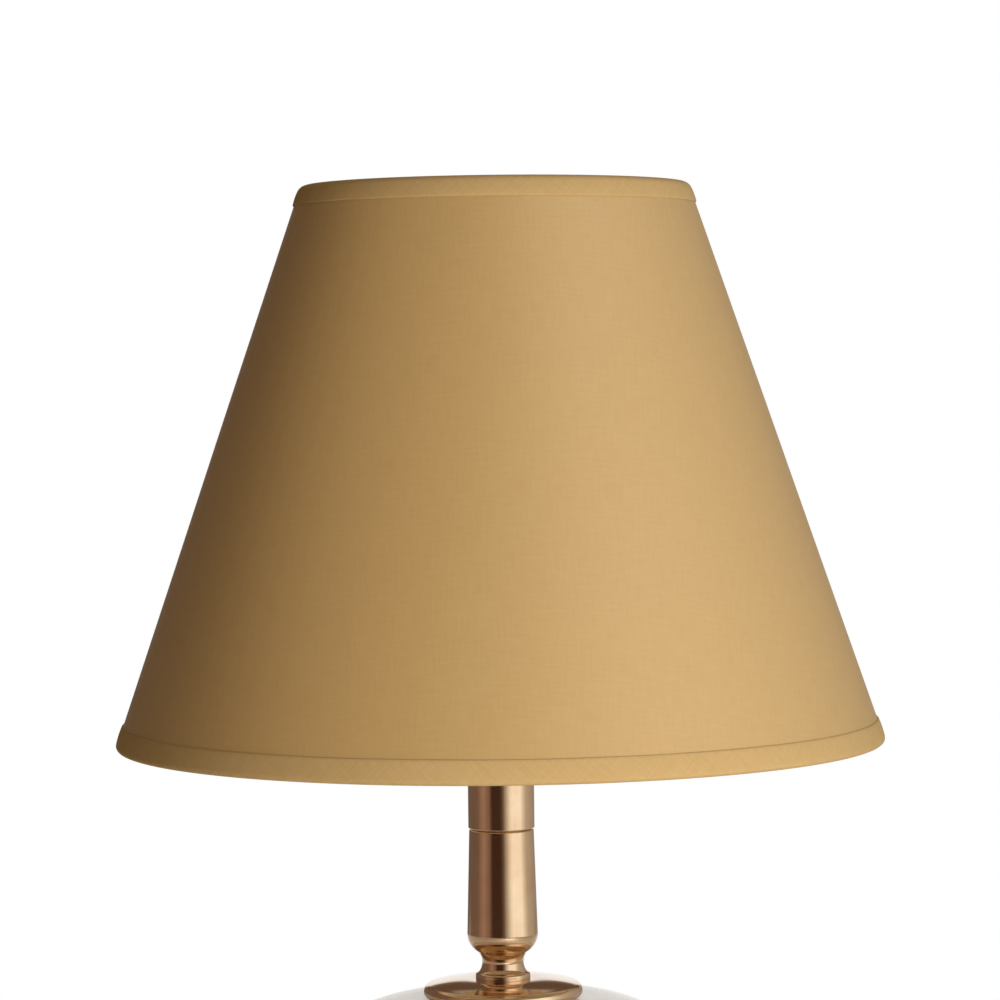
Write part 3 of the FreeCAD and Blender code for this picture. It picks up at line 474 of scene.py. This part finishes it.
# Candle tube and what is in it.
tubeSize = {"radius": 12.5, "wall": 1.0, "length": 136.2, "edge": 0.3}
size = tubeSize
candleTube = turnPiece("candleTube", nodeBase("candle_tube"), [
    (size["radius"] - size["wall"], 0), (size["radius"] - size["edge"], 0),
    (size["radius"], size["edge"]), (size["radius"], size["length"]),
    (size["radius"] - size["wall"], size["length"])], steps=128, closed=True, edge=0.1)
fit(candleTube, polishedBrass, "tube", "candle_tube")

spigotSize = {"radius": 10.95, "wall": 0.75, "floor": 2.2, "step": 37.8, "height": 44.3,
              "inTube": 11.5, "vent": 2.5}
size = spigotSize
spigotTurned = turnPiece("spigotTurned", nodeBase("spigot"), [
    (size["vent"], 0), (size["radius"], 0), (size["radius"], size["step"]),
    (size["inTube"], size["step"]), (size["inTube"], size["height"]),
    (size["radius"] - size["wall"], size["height"]), (size["radius"] - size["wall"], size["floor"]),
    (size["vent"], size["floor"])], closed=True)
fit(spigotTurned, plainBrass, "tube", "spigot")

followerSize = {"boss": 7.6, "bossHeight": 6.0, "plate": 11.3, "thick": 2.0, "pin": 1.6,
                "pinHeight": 7.0}
size = followerSize
plateTop = size["bossHeight"] + size["thick"]
followerTurned = turnPiece("followerTurned", nodeBase("follower"), [
    (0, 0), (size["boss"], 0), (size["boss"], size["bossHeight"]),
    (size["plate"], size["bossHeight"]), (size["plate"], plateTop), (size["pin"], plateTop),
    (0, plateTop + size["pinHeight"])])
fit(followerTurned, plainBrass, "candle", "follower")

candleBase, candleTop = (corner.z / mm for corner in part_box("candle"))
candleSize = {"radius": 11.0, "tip": 2.2, "tipHeight": 8.0, "neck": 6.9, "pin": 1.9, "pinDeep": 7.3,
              "wick": 0.9, "wickRoot": 4.0}
size = candleSize
tall = candleTop - candleBase
neckHeight = tall - size["tipHeight"]
shoulder = neckHeight - (size["radius"] - size["neck"])
candleCast = turnPiece("candleCast", candleBase * mm, [
    (size["pin"], 0), (size["radius"], 0), (size["radius"], shoulder), (size["neck"], neckHeight),
    (size["tip"], tall), (size["wick"], tall), (size["wick"], tall - size["wickRoot"]),
    (0, tall - size["wickRoot"]), (0, size["pinDeep"]), (size["pin"], size["pinDeep"])],
    closed=True, edge=0.35)
fit(candleCast, candleWax, "candle", "candle")


# A tube along a smooth path of millimetre points, made a mesh with closed ends.
def wirePiece(name, points, radius, level=0.0, around=12, smooth=True):
    clearSelection()
    bpy.ops.curve.primitive_nurbs_path_add(location=(0, 0, 0))
    curve = bpy.context.object.data
    curve.splines.clear()
    spline = curve.splines.new("NURBS" if smooth else "POLY")
    spline.points.add(len(points) - 1)
    for spot, (x, y, z) in zip(spline.points, points):
        spot.co = (x * mm, y * mm, z * mm + level, 1)
    if smooth:
        spline.order_u = 4
        spline.use_endpoint_u = True
        spline.resolution_u = 6
    curve.bevel_depth = radius * mm
    curve.bevel_resolution = around // 4
    curve.use_fill_caps = True
    bpy.ops.object.convert(target="MESH")
    piece = madePiece(name)
    faceOutwards(meshSize["fineWeld"])
    bpy.ops.object.shade_smooth_by_angle(angle=math.radians(meshSize["wireSmooth"]))
    return piece


# A point at a radius, an angle and a height.
def polar(radius, turn, height):
    return (radius * math.cos(turn), radius * math.sin(turn), height)


wickSize = {"radius": 0.9, "root": 4.0, "straight": 3.0, "bend": 6.0, "lean": 50.0,
            "rootSteps": 4, "straightSteps": 3, "bendSteps": 8}
size = wickSize
bendFrom = size["root"] + size["straight"]
heights = spread(0, size["root"], size["rootSteps"])[:-1]
heights += spread(size["root"], bendFrom, size["straightSteps"])[:-1]
wickLine = [(0, 0, height) for height in heights]
for lean in spread(0, math.radians(size["lean"]), size["bendSteps"]):
    wickLine.append((size["bend"] * (1 - math.cos(lean)), 0,
                     bendFrom + size["bend"] * math.sin(lean)))
wickBraid = wirePiece("wickBraid", wickLine, size["radius"], nodeBase("wick"))
fit(wickBraid, cottonWick, "candle", "wick")

# Spring: its wire runs straight down, or up, for the last bit at each end.
springSize = {"wire": 1.2, "radius": 8.8, "turns": 11, "length": 67.0, "perTurn": 16}
size = springSize
inset = 2 * size["wire"]
lead = inset / size["radius"]
springSteps = size["turns"] * size["perTurn"]
springLine = [polar(size["radius"], -lead, height) for height in (0, size["wire"])]
for step in range(springSteps + 1):
    height = inset + (size["length"] - 2 * inset) * step / springSteps
    springLine.append(polar(size["radius"], math.tau * step / size["perTurn"], height))
springLine += [polar(size["radius"], lead, height)
               for height in (size["length"] - size["wire"], size["length"])]
springBase = nodeBase("feed_spring")
feedSpring = wirePiece("feedSpring", springLine, size["wire"] / 2, springBase, around=8)
fit(feedSpring, springSteel, "tube", "feed_spring")
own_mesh(feedSpring)
print("candle tube made")


# Joins a tool to a piece, or cuts it away, and removes the tool.
def combine(piece, tool, operation):
    pick(piece)
    boolean = piece.modifiers.new("combine", "BOOLEAN")
    boolean.object = tool
    boolean.operation = operation
    boolean.solver = "EXACT"
    bpy.ops.object.modifier_apply(modifier=boolean.name)
    bpy.data.objects.remove(tool)
    smoothFaces(piece)


# A block bent round the axis, from one radius and height to another, over an angle in degrees.
def ringSector(inner, outer, low, high, aim, span, level):
    clearSelection()
    bpy.ops.mesh.primitive_plane_add(size=mm)
    piece = bpy.context.object
    start = Matrix.Rotation(math.radians(aim - span / 2), 3, "Z")
    corners = ((inner, low), (outer, low), (inner, high), (outer, high))
    for vertex, (radius, height) in zip(piece.data.vertices, corners):
        vertex.co = start @ Vector((radius * mm, 0, level + height * mm))
    bpy.ops.object.mode_set(mode="EDIT")
    bpy.ops.mesh.select_all(action="SELECT")
    bpy.ops.mesh.spin(steps=16, angle=math.radians(span), center=(0, 0, 0), axis=(0, 0, 1))
    faceOutwards()
    return piece


# Lays a piece that was turned upright along Y, at a height in metres.
def layAlongY(piece, level):
    pick(piece)
    piece.rotation_euler = (-math.pi / 2, 0, 0)
    piece.location = (0, 0, level)
    bpy.ops.object.transform_apply(location=True, rotation=True, scale=True)
    return piece


# Cap: skirt with a bead, cone up to the mouth, and two bayonet slots.
capSize = {"bore": 12.55, "outside": 13.45, "bead": 0.8, "skirt": 14.3, "skirtOut": 14.67,
           "mouth": 7.5, "mouthTop": 20.62, "mouthIn": 19.35, "pinHeight": 6.5, "slot": 1.4,
           "span": 46.95, "entry": 11.95, "entryTurn": -17.5, "cutPast": 1.0}
size = capSize
capBase = nodeBase("candle_cap")
beadSide = (size["outside"] + size["bead"], size["bead"])
beadTop = (size["outside"], 2 * size["bead"])
candleCap = turnPiece("candleCap", capBase, [
    (size["bore"], 0), (size["outside"], 0),
    *arc((size["outside"], 0), beadSide, size["bead"], "left", steps=6), beadSide,
    *arc(beadSide, beadTop, size["bead"], "left", steps=6), beadTop,
    (size["outside"], size["skirtOut"]), (size["mouth"], size["mouthTop"]),
    (size["mouth"], size["mouthIn"]), (size["bore"], size["skirt"])],
    steps=120, closed=True, edge=0.12)
for side in (0, 180):
    for low, high, aim, span in (
            (size["pinHeight"] - size["slot"], size["pinHeight"] + size["slot"], 0, size["span"]),
            (-size["cutPast"], size["pinHeight"], size["entryTurn"], size["entry"])):
        cutter = ringSector(size["bore"] - size["cutPast"], beadSide[0] + size["cutPast"],
                            low, high, side + aim, span, capBase)
        combine(candleCap, cutter, "DIFFERENCE")
fit(candleCap, polishedBrass, "cap", "candle_cap")

# Collar with its flange and screw boss.
collarSize = {"bore": 12.55, "radius": 16.0, "height": 12.0, "flange": 21.0, "flangeThick": 2.0,
              "edge": 0.5, "boss": 4.5, "bossReach": 22.5, "bossRoot": 13.5, "screwHole": 2.05,
              "drillFrom": 10.5, "drillLong": 15.0}
size = collarSize
collarBase = nodeBase("gallery_collar")
flangeLow = size["height"] - size["flangeThick"]
collarTurned = turnPiece("collarTurned", collarBase, [
    (size["bore"], 0), (size["radius"] - size["edge"], 0), (size["radius"], size["edge"]),
    (size["radius"], flangeLow), (size["flange"] - size["edge"], flangeLow),
    (size["flange"], flangeLow + size["edge"]), (size["flange"], size["height"] - size["edge"]),
    (size["flange"] - size["edge"], size["height"]), (size["bore"], size["height"])],
    steps=120, closed=True, edge=0.12)
screwLevel = collarBase + flangeLow / 2 * mm
boss = layAlongY(turnPiece("boss", size["bossRoot"] * mm, [
    (0, 0), (size["boss"], 0), (size["boss"], size["bossReach"] - size["bossRoot"]),
    (0, size["bossReach"] - size["bossRoot"])], steps=48, edge=0.4), screwLevel)
combine(collarTurned, boss, "UNION")
drill = layAlongY(turnPiece("drill", size["drillFrom"] * mm, [
    (0, 0), (size["screwHole"], 0), (size["screwHole"], size["drillLong"]),
    (0, size["drillLong"])], steps=32, edge=0), screwLevel)
combine(collarTurned, drill, "DIFFERENCE")
fit(collarTurned, polishedBrass, "gallery", "gallery_collar")

# Thumbscrew: threaded shank and a flat spade with rounded flanks.
screwSize = {"tip": 12.6, "radius": 2.0, "end": 25.5, "pitch": 0.7, "thread": 0.3,
             "spadeRoot": 23.5, "spadeMiddle": 30.5, "spadeTip": 33.5, "spadeHalf": 6.5,
             "flank": 6.0, "round": 5.0, "thick": 2.6, "edge": 0.6}
size = screwSize
threadLine = [(0, 0), (size["radius"] - size["thread"], 0), (size["radius"], size["thread"])]
height = size["pitch"]
while height < size["spadeRoot"] - size["tip"] - size["pitch"]:
    threadLine += [(size["radius"], height),
                   (size["radius"] - size["thread"], height + size["pitch"] / 2)]
    height += size["pitch"]
threadLine += [(size["radius"], height), (size["radius"], size["end"] - size["tip"]),
               (0, size["end"] - size["tip"])]
shank = layAlongY(turnPiece("shank", size["tip"] * mm, threadLine, steps=32, edge=0), screwLevel)
shoulderRight = (size["radius"], size["spadeRoot"])
tipRight, spadeTip = (size["spadeHalf"], size["spadeMiddle"]), (0, size["spadeTip"])
half = [shoulderRight, *arc(shoulderRight, tipRight, size["flank"], "left"), tipRight,
        *arc(tipRight, spadeTip, size["round"], "left")]
outline = half + [spadeTip] + [(-x, y) for x, y in reversed(half)]
clearSelection()
bpy.ops.mesh.primitive_circle_add(vertices=len(outline), radius=mm, fill_type="NGON")
thumbscrewSpade = madePiece("thumbscrewSpade")
for vertex, (x, y) in zip(thumbscrewSpade.data.vertices, outline):
    vertex.co = (x * mm, y * mm, screwLevel - size["thick"] / 2 * mm)
bpy.ops.object.mode_set(mode="EDIT")
bpy.ops.mesh.select_all(action="SELECT")
bpy.ops.mesh.extrude_region_move(TRANSFORM_OT_translate={"value": (0, 0, size["thick"] * mm)})
faceOutwards()
softenEdges(thumbscrewSpade, size["edge"], 3)
combine(thumbscrewSpade, shank, "UNION")
fit(thumbscrewSpade, polishedBrass, "thumbscrew", "thumbscrew")
print("cap, collar and screw made")

# Shade frame: ring and three arms.
ringSize = {"bore": 15.85, "radius": 20.25, "thick": 1.6}
size = ringSize
shadeRing = turnPiece("shadeRing", nodeBase("shade_ring"), [
    (size["bore"], 0), (size["radius"], 0), (size["radius"], size["thick"]),
    (size["bore"], size["thick"])], steps=96, closed=True, edge=0.5)
fit(shadeRing, brassedWire, "shade", "shade_ring")

armSize = {"start": 17.25, "rise": 3.0, "bendAt": 27.25, "bend": 9.0, "lean": 69.43,
           "end": (70.1, 117.18), "radius": 1.4, "turns": (30, 150, 270)}
size = armSize
lean = math.radians(size["lean"])
tangent = size["bend"] * math.tan(lean / 2)
bendStart = (size["bendAt"] - tangent, size["rise"])
bendEnd = (size["bendAt"] + tangent * math.cos(lean), size["rise"] + tangent * math.sin(lean))
section = [(size["start"], size["rise"]), bendStart,
           *arc(bendStart, bendEnd, size["bend"], "left", steps=12), bendEnd, size["end"]]
arms = []
for turn in size["turns"]:
    line = [polar(radius, math.radians(turn), height) for radius, height in section]
    arms.append(wirePiece("shadeArm%d" % turn, line, size["radius"], nodeBase("shade_ring"),
                          around=16, smooth=False))
pick(*arms)
bpy.ops.object.join()
shadeArms = madePiece("shadeArms")
fit(shadeArms, brassedWire, "shade", "shade_arms")

# Shade: its face from the lower edge to the upper one, and the cloth's lap at the back.
shadeSize = {"low": 142.8, "high": 73.0, "height": 203.9, "cloth": 0.45, "card": 0.6, "lap": 10.0,
             "lapRamp": 1.5, "lapStep": 0.5, "lapLead": 5, "glue": 0.05, "wave": 0.1,
             "waveLength": 45.0, "gap": 0.15, "columns": 288, "cardColumns": 192, "rows": 20}
size = shadeSize
shadeLevel = nodeBase("shade_cover")
slope = (size["low"] - size["high"]) / size["height"]
slant = math.hypot(size["low"] - size["high"], size["height"])
coneShare = (size["low"] - size["high"]) / slant


def ease(value):
    value = min(max(value, 0), 1)
    return value * value * (3 - 2 * value)


# How far the cloth stands out from the plain cone, in millimetres: a slight wave.
def clothWave(spoke, radius, height):
    at = Vector((spoke.x * radius, spoke.y * radius, height)) / size["waveLength"]
    return (0.5 + 0.5 * noise.noise(at)) * size["wave"]


# Wraps a strip round the axis from the back. Each column is a turn in radians and each row a
# point of its section, and place gives a point's place in millimetres and in the flat layout.
def wrapStrip(name, turns, section, place):
    clearSelection()
    bpy.ops.mesh.primitive_grid_add(x_subdivisions=len(turns) - 1, y_subdivisions=len(section) - 1,
                                    size=1, calc_uvs=False)
    piece = madePiece(name)
    mesh = piece.data
    layout = []
    for vertex in mesh.vertices:
        column = round((vertex.co.x + 0.5) * (len(turns) - 1))
        row = round((vertex.co.y + 0.5) * (len(section) - 1))
        spoke = Vector((-math.sin(turns[column]), math.cos(turns[column])))
        (radius, height), flat = place(turns[column], spoke, section[row])
        vertex.co = (spoke.x * radius * mm, spoke.y * radius * mm, height * mm + shadeLevel)
        layout.append((flat[0] * mm, flat[1] * mm))
    flatMap = mesh.uv_layers.new(name="flat")
    for loop in mesh.loops:
        flatMap.data[loop.index].uv = layout[loop.vertex_index]
    return piece


# A point of the plain cone: its radius and height, and its place in the flat cut.
def conePoint(turn, share):
    radius = size["low"] + (size["high"] - size["low"]) * share
    flatTurn, reach = (turn - math.pi) * coneShare, radius / coneShare
    return radius, size["height"] * share, (reach * math.sin(flatTurn), reach * math.cos(flatTurn))


# The cloth's face: past a full turn it rides over its own start.
def clothPlace(turn, spoke, share):
    radius, height, flat = conePoint(turn, share)
    past = (turn - math.tau) * size["low"]
    out = ease(past / size["lapRamp"] + 1) * (size["cloth"] + size["glue"])
    return (radius + out + clothWave(spoke, radius, height), height), flat


# The card's face is the cloth's back, and its ends butt at the back.
def cardPlace(turn, spoke, share):
    radius, height, flat = conePoint(turn, share)
    return (radius - size["cloth"] - size["glue"], height), flat


# Gives a face its thickness, inwards.
def wallPiece(piece, thick):
    pick(piece)
    wall = piece.modifiers.new("wall", "SOLIDIFY")
    wall.thickness = thick * mm
    wall.offset = -1
    bpy.ops.object.modifier_apply(modifier=wall.name)
    faceOutwards()
    bpy.ops.object.shade_smooth_by_angle(angle=math.radians(meshSize["wireSmooth"]))


rows = spread(0, 1, size["rows"])
clothTurns = spread(0, math.tau, size["columns"])[:-1]
lapSteps = range(-size["lapLead"], int(size["lap"] / size["lapStep"]) + 1)
clothTurns += [math.tau + step * size["lapStep"] / size["low"] for step in lapSteps]
shadeCover = wrapStrip("shadeCover", clothTurns, rows, clothPlace)
wallPiece(shadeCover, size["cloth"])
end = size["gap"] / size["low"]
cardTurns = spread(end, math.tau - end, size["cardColumns"])
shadeLiner = wrapStrip("shadeLiner", cardTurns, rows, cardPlace)
wallPiece(shadeLiner, size["card"])
fit(shadeLiner, shadeCard, "shade", "shade_liner")
fit(shadeCover, shadeCloth, "shade", "shade_cover")

# Trim: one folded strip, rolled round the edge and its wire and glued down inside. Its ends meet
# beside the cloth's lap.
trimSize = {"thick": 0.5, "roll": 3.85, "wall": 1.1, "tuck": 2.0, "rise": 5.0, "lap": 8.0,
            "lowBand": 6.4, "highBand": 5.1, "edgeIn": 0.3, "edgeRound": 0.35, "crown": 0.2,
            "crownFrom": 0.1, "crownSpan": 0.85, "bandRows": 8, "rollRows": 16, "waver": 0.15,
            "waverLong": 30.0, "waverRows": 6, "seam": 16.0, "columns": 384}


def trimPiece(name, level, edgeRadius, band, way):
    values = trimSize
    thick, middle = values["thick"], values["roll"] / 2
    outer, inner = middle + thick, middle
    # Each point: inset, height from the edge, and how much it follows the cloth's face.
    section = [(0, band, 1), (-values["edgeIn"], band, 1)]
    for share in spread(0, 1, values["bandRows"]):
        bulge = math.sin(math.pi * (values["crownFrom"] + values["crownSpan"] * share))
        section.append((-thick - values["crown"] * bulge,
                        (band - values["edgeRound"]) * (1 - share), 1))
    for turn in spread(0, math.pi, values["rollRows"])[1:]:
        section.append((middle - outer * math.cos(turn), -outer * math.sin(turn),
                        max(math.cos(turn), 0)))
    section += [(values["roll"] + thick, values["tuck"], 0),
                (values["wall"] + thick, values["rise"], 0),
                (values["wall"] + thick, values["lap"], 0), (values["wall"], values["lap"], 0),
                (values["wall"], values["rise"], 0), (values["roll"], values["tuck"], 0)]
    for turn in spread(math.pi, 0, values["rollRows"]):
        section.append((middle - inner * math.cos(turn), -inner * math.sin(turn),
                        max(math.cos(turn), 0)))
    section.append(section[0])
    across, reach = [0.0], 0.0
    for before, after in zip(section, section[1:]):
        reach += math.dist(before[:2], after[:2])
        across.append(reach)

    def trimPlace(turn, spoke, row):
        inset, height, follow = section[row]
        radius = edgeRadius - inset - way * slope * height
        arcPast = (turn + math.pi) % math.tau * edgeRadius - math.pi * edgeRadius
        ramp = size["lapRamp"]
        over = (ease(arcPast / ramp + 1) - ease((arcPast - size["lap"]) / ramp)) * size["cloth"]
        radius += follow * (over + clothWave(spoke, radius, level + way * height))
        along = turn * edgeRadius
        fold = row % (len(section) - 1)
        if fold < values["waverRows"]:
            at = Vector((along / values["waverLong"], fold / (2 * values["waverRows"]), edgeRadius))
            height += noise.noise(at) * values["waver"]
        return (radius, level + way * height), (along, across[row])

    first = values["seam"] / edgeRadius
    last = first + math.tau - 2 * size["gap"] / edgeRadius
    turns = spread(first, last, values["columns"])
    piece = wrapStrip(name, turns, range(len(section)), trimPlace)
    faceOutwards(meshSize["fineWeld"], holes=True)
    bpy.ops.object.shade_smooth_by_angle(angle=math.radians(meshSize["trimSmooth"]))
    return piece


bottomTrim = trimPiece("bottomTrim", 0, size["low"], trimSize["lowBand"], 1)
topTrim = trimPiece("topTrim", size["height"], size["high"], trimSize["highBand"], -1)
fit(bottomTrim, trimCloth, "shade", "bottom_trim")
fit(topTrim, trimCloth, "shade", "top_trim")
print("shade made")

# The plain rods and wires stay as they are and take their finish only.
for node, finish in (("tie_rod", zincSteel), ("foot_washer", zincSteel), ("foot_nut", zincSteel),
                     ("bayonet_pins", plainBrass), ("top_wire", brassedWire),
                     ("bottom_wire", brassedWire)):
    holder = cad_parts[node]
    for slot in holder.material_slots:
        slot.material = finish
    if not holder.material_slots:
        holder.data.materials.append(finish)

# Table: a plain white sheet. Seen directly it fades to pure white away from the lamp.
tableSize = {"width": 3.0, "clear": (0.3, 1.25), "haze": 0.4}
size = tableSize
clearSelection()
bpy.ops.mesh.primitive_plane_add(size=size["width"])
table = madePiece("table")
tableCard, tree, shader = newFinish("whiteTable", {
    "Roughness": 0.9, "Base Color": srgb("#E8E6E3")})
place = addNode(tree, "TexCoord")
flatPlace = addNode(tree, "VectorMath", {"operation": "LENGTH"}, {0: place.outputs["Object"]})
fade = addNode(tree, "MapRange", {
    "interpolation_type": "SMOOTHSTEP", "From Min": size["clear"][0], "From Max": size["clear"][1],
    "To Min": size["haze"]}, {"Value": flatPlace.outputs["Value"]})
path = addNode(tree, "LightPath")
seen = addNode(tree, "Math", {"operation": "MAXIMUM"},
               {0: path.outputs["Is Camera Ray"], 1: path.outputs["Is Transmission Ray"]})
plain = addNode(tree, "Math", {"operation": "MULTIPLY"}, {0: seen.outputs[0], 1: fade.outputs[0]})
white = addNode(tree, "Emission", {"Color": (1, 1, 1, 1), "Strength": 1.0})
either = addNode(tree, "MixShader", None,
                 {0: plain.outputs[0], 1: shader.outputs[0], 2: white.outputs[0]})
output = tree.nodes["Material Output"]
tree.links.new(either.outputs[0], output.inputs["Surface"])
table.data.materials.append(tableCard)

# Room: a white wall on the camera's right and behind the lamp, and a dim warm room on its left.
# Each stop is an azimuth in degrees, from the camera's side towards the right, and a colour.
roomStops = {
    "lit": [(-180, 0.10, 0.06, 0.03), (-50, 0.04, 0.018, 0.006), (-34, 0.45, 0.22, 0.07),
            (-20, 1.0, 0.72, 0.34), (0, 1.0, 0.93, 0.76), (30, 1.0, 1.0, 0.99),
            (118, 1.0, 1.0, 1.0), (150, 0.5, 0.42, 0.34), (172, 0.14, 0.09, 0.06)],
    "mirrored": [(-180, 0.95, 0.94, 0.93), (-169, 0.95, 0.94, 0.93), (-163, 0.14, 0.11, 0.09),
                 (-90, 0.18, 0.12, 0.10), (-64, 0.36, 0.24, 0.20), (-42, 0.20, 0.13, 0.10),
                 (-33, 0.05, 0.025, 0.018), (-4, 0.05, 0.025, 0.018), (6, 0.14, 0.10, 0.08),
                 (20, 0.58, 0.56, 0.52), (30, 0.95, 0.94, 0.92), (38, 1.12, 1.12, 1.14),
                 (70, 1.10, 1.10, 1.12), (80, 0.8, 0.78, 0.74), (94, 0.52, 0.49, 0.45),
                 (150, 0.32, 0.27, 0.23), (163, 0.32, 0.27, 0.23), (169, 0.95, 0.94, 0.93),
                 (180, 0.95, 0.94, 0.93)]}
roomStrength = {"lit": 0.6, "mirrored": 1.0}
# The wall behind is low: in metal it ends in the dark room above it, between these two rises.
wallTop = {"start": 0.195, "end": 0.235, "side": (0.80, 0.90), "above": (0.12, 0.07, 0.04, 1)}
room = bpy.data.worlds.new("room")
bpy.context.scene.world = room
room.use_nodes = True
tree = room.node_tree
tree.nodes.clear()
way = addNode(tree, "TexCoord")
parts = addNode(tree, "SeparateXYZ", None, {0: way.outputs["Generated"]})
ahead = addNode(tree, "Math", {"operation": "MULTIPLY", 1: -1.0}, {0: parts.outputs["Y"]})
azimuth = addNode(tree, "Math", {"operation": "ARCTAN2"},
                  {0: parts.outputs["X"], 1: ahead.outputs[0]})
share = addNode(tree, "MapRange", {"From Min": -math.pi, "From Max": math.pi},
                {"Value": azimuth.outputs[0]})
lights = []
for kind in ("lit", "mirrored"):
    stops = [((turn + 180) / 360, (red, green, blue, 1))
             for turn, red, green, blue in roomStops[kind]]
    colour = addNode(tree, "ValToRGB", {"stops": stops}, {"Fac": share.outputs[0]}).outputs["Color"]
    if kind == "mirrored":
        rise = addNode(tree, "MapRange", {"From Min": wallTop["start"], "From Max": wallTop["end"]},
                       {"Value": parts.outputs["Z"]})
        behind = addNode(tree, "MapRange", {"From Min": wallTop["side"][0],
                                            "From Max": wallTop["side"][1]},
                         {"Value": parts.outputs["Y"]})
        above = addNode(tree, "Math", {"operation": "MULTIPLY"},
                        {0: rise.outputs[0], 1: behind.outputs[0]})
        colour = addNode(tree, "Mix", {"data_type": "RGBA", 7: wallTop["above"]},
                         {0: above.outputs[0], 6: colour}).outputs[2]
    lights.append(addNode(tree, "Background", {"Strength": roomStrength[kind]}, {"Color": colour}))
path = addNode(tree, "LightPath")
inMetal = addNode(tree, "MixShader", None, {0: path.outputs["Is Glossy Ray"],
                                            1: lights[0].outputs[0], 2: lights[1].outputs[0]})
seen = addNode(tree, "Math", {"operation": "MAXIMUM"},
               {0: path.outputs["Is Camera Ray"], 1: path.outputs["Is Transmission Ray"]})
paper = addNode(tree, "Background", {"Color": (1, 1, 1, 1), "Strength": 1.0})
shown = addNode(tree, "MixShader", None, {0: seen.outputs[0], 1: inMetal.outputs[0],
                                          2: paper.outputs[0]})
output = addNode(tree, "OutputWorld")
tree.links.new(shown.outputs[0], output.inputs["Surface"])

# Two soft lamps: one on the right of the camera, low enough to favour the shade's lower half, and a
# weaker one behind. The azimuth is in degrees from the camera's side towards the right.
lampSizes = {
    "rightLamp": {"width": 0.5, "distance": 1.05, "azimuth": 25.0, "height": 0.28, "aim": 0.42,
                  "power": 6.6},
    "backLamp": {"width": 0.7, "distance": 1.4, "azimuth": 180.0, "height": 0.80, "aim": 0.30,
                 "power": 8.5}}
lampColour = (1.0, 0.97, 0.92)
for name, size in lampSizes.items():
    aim = math.radians(size["azimuth"])
    bpy.ops.object.light_add(type="AREA", location=(
        size["distance"] * math.sin(aim), -size["distance"] * math.cos(aim), size["height"]))
    lamp = madePiece(name)
    lamp.data.shape = "DISK"
    lamp.data.size = size["width"]
    lamp.data.energy = size["power"]
    lamp.data.color = lampColour
    sight = Vector((0, 0, size["aim"])) - lamp.location
    lamp.rotation_euler = sight.to_track_quat("-Z", "Y").to_euler()
    lamp.visible_camera = lamp.visible_glossy = lamp.visible_transmission = False

# Camera, at the height of the shade and square to the lamp.
cameraSize = {"place": (0, -1.366, 0.4744), "lens": 131.5, "sensor": 36.0, "tilt": 87.84,
              "roll": -0.64, "pan": -0.035}
size = cameraSize
bpy.ops.object.camera_add(location=size["place"])
camera = bpy.context.object
camera.name = "camera"
camera.data.lens = size["lens"]
camera.data.sensor_width = size["sensor"]
camera.rotation_euler = (Matrix.Rotation(math.radians(size["pan"]), 3, "Z")
                         @ Matrix.Rotation(math.radians(size["tilt"]), 3, "X")
                         @ Matrix.Rotation(math.radians(size["roll"]), 3, "Z")).to_euler()
bpy.context.scene.camera = camera
bpy.context.scene.view_settings.view_transform = "Standard"
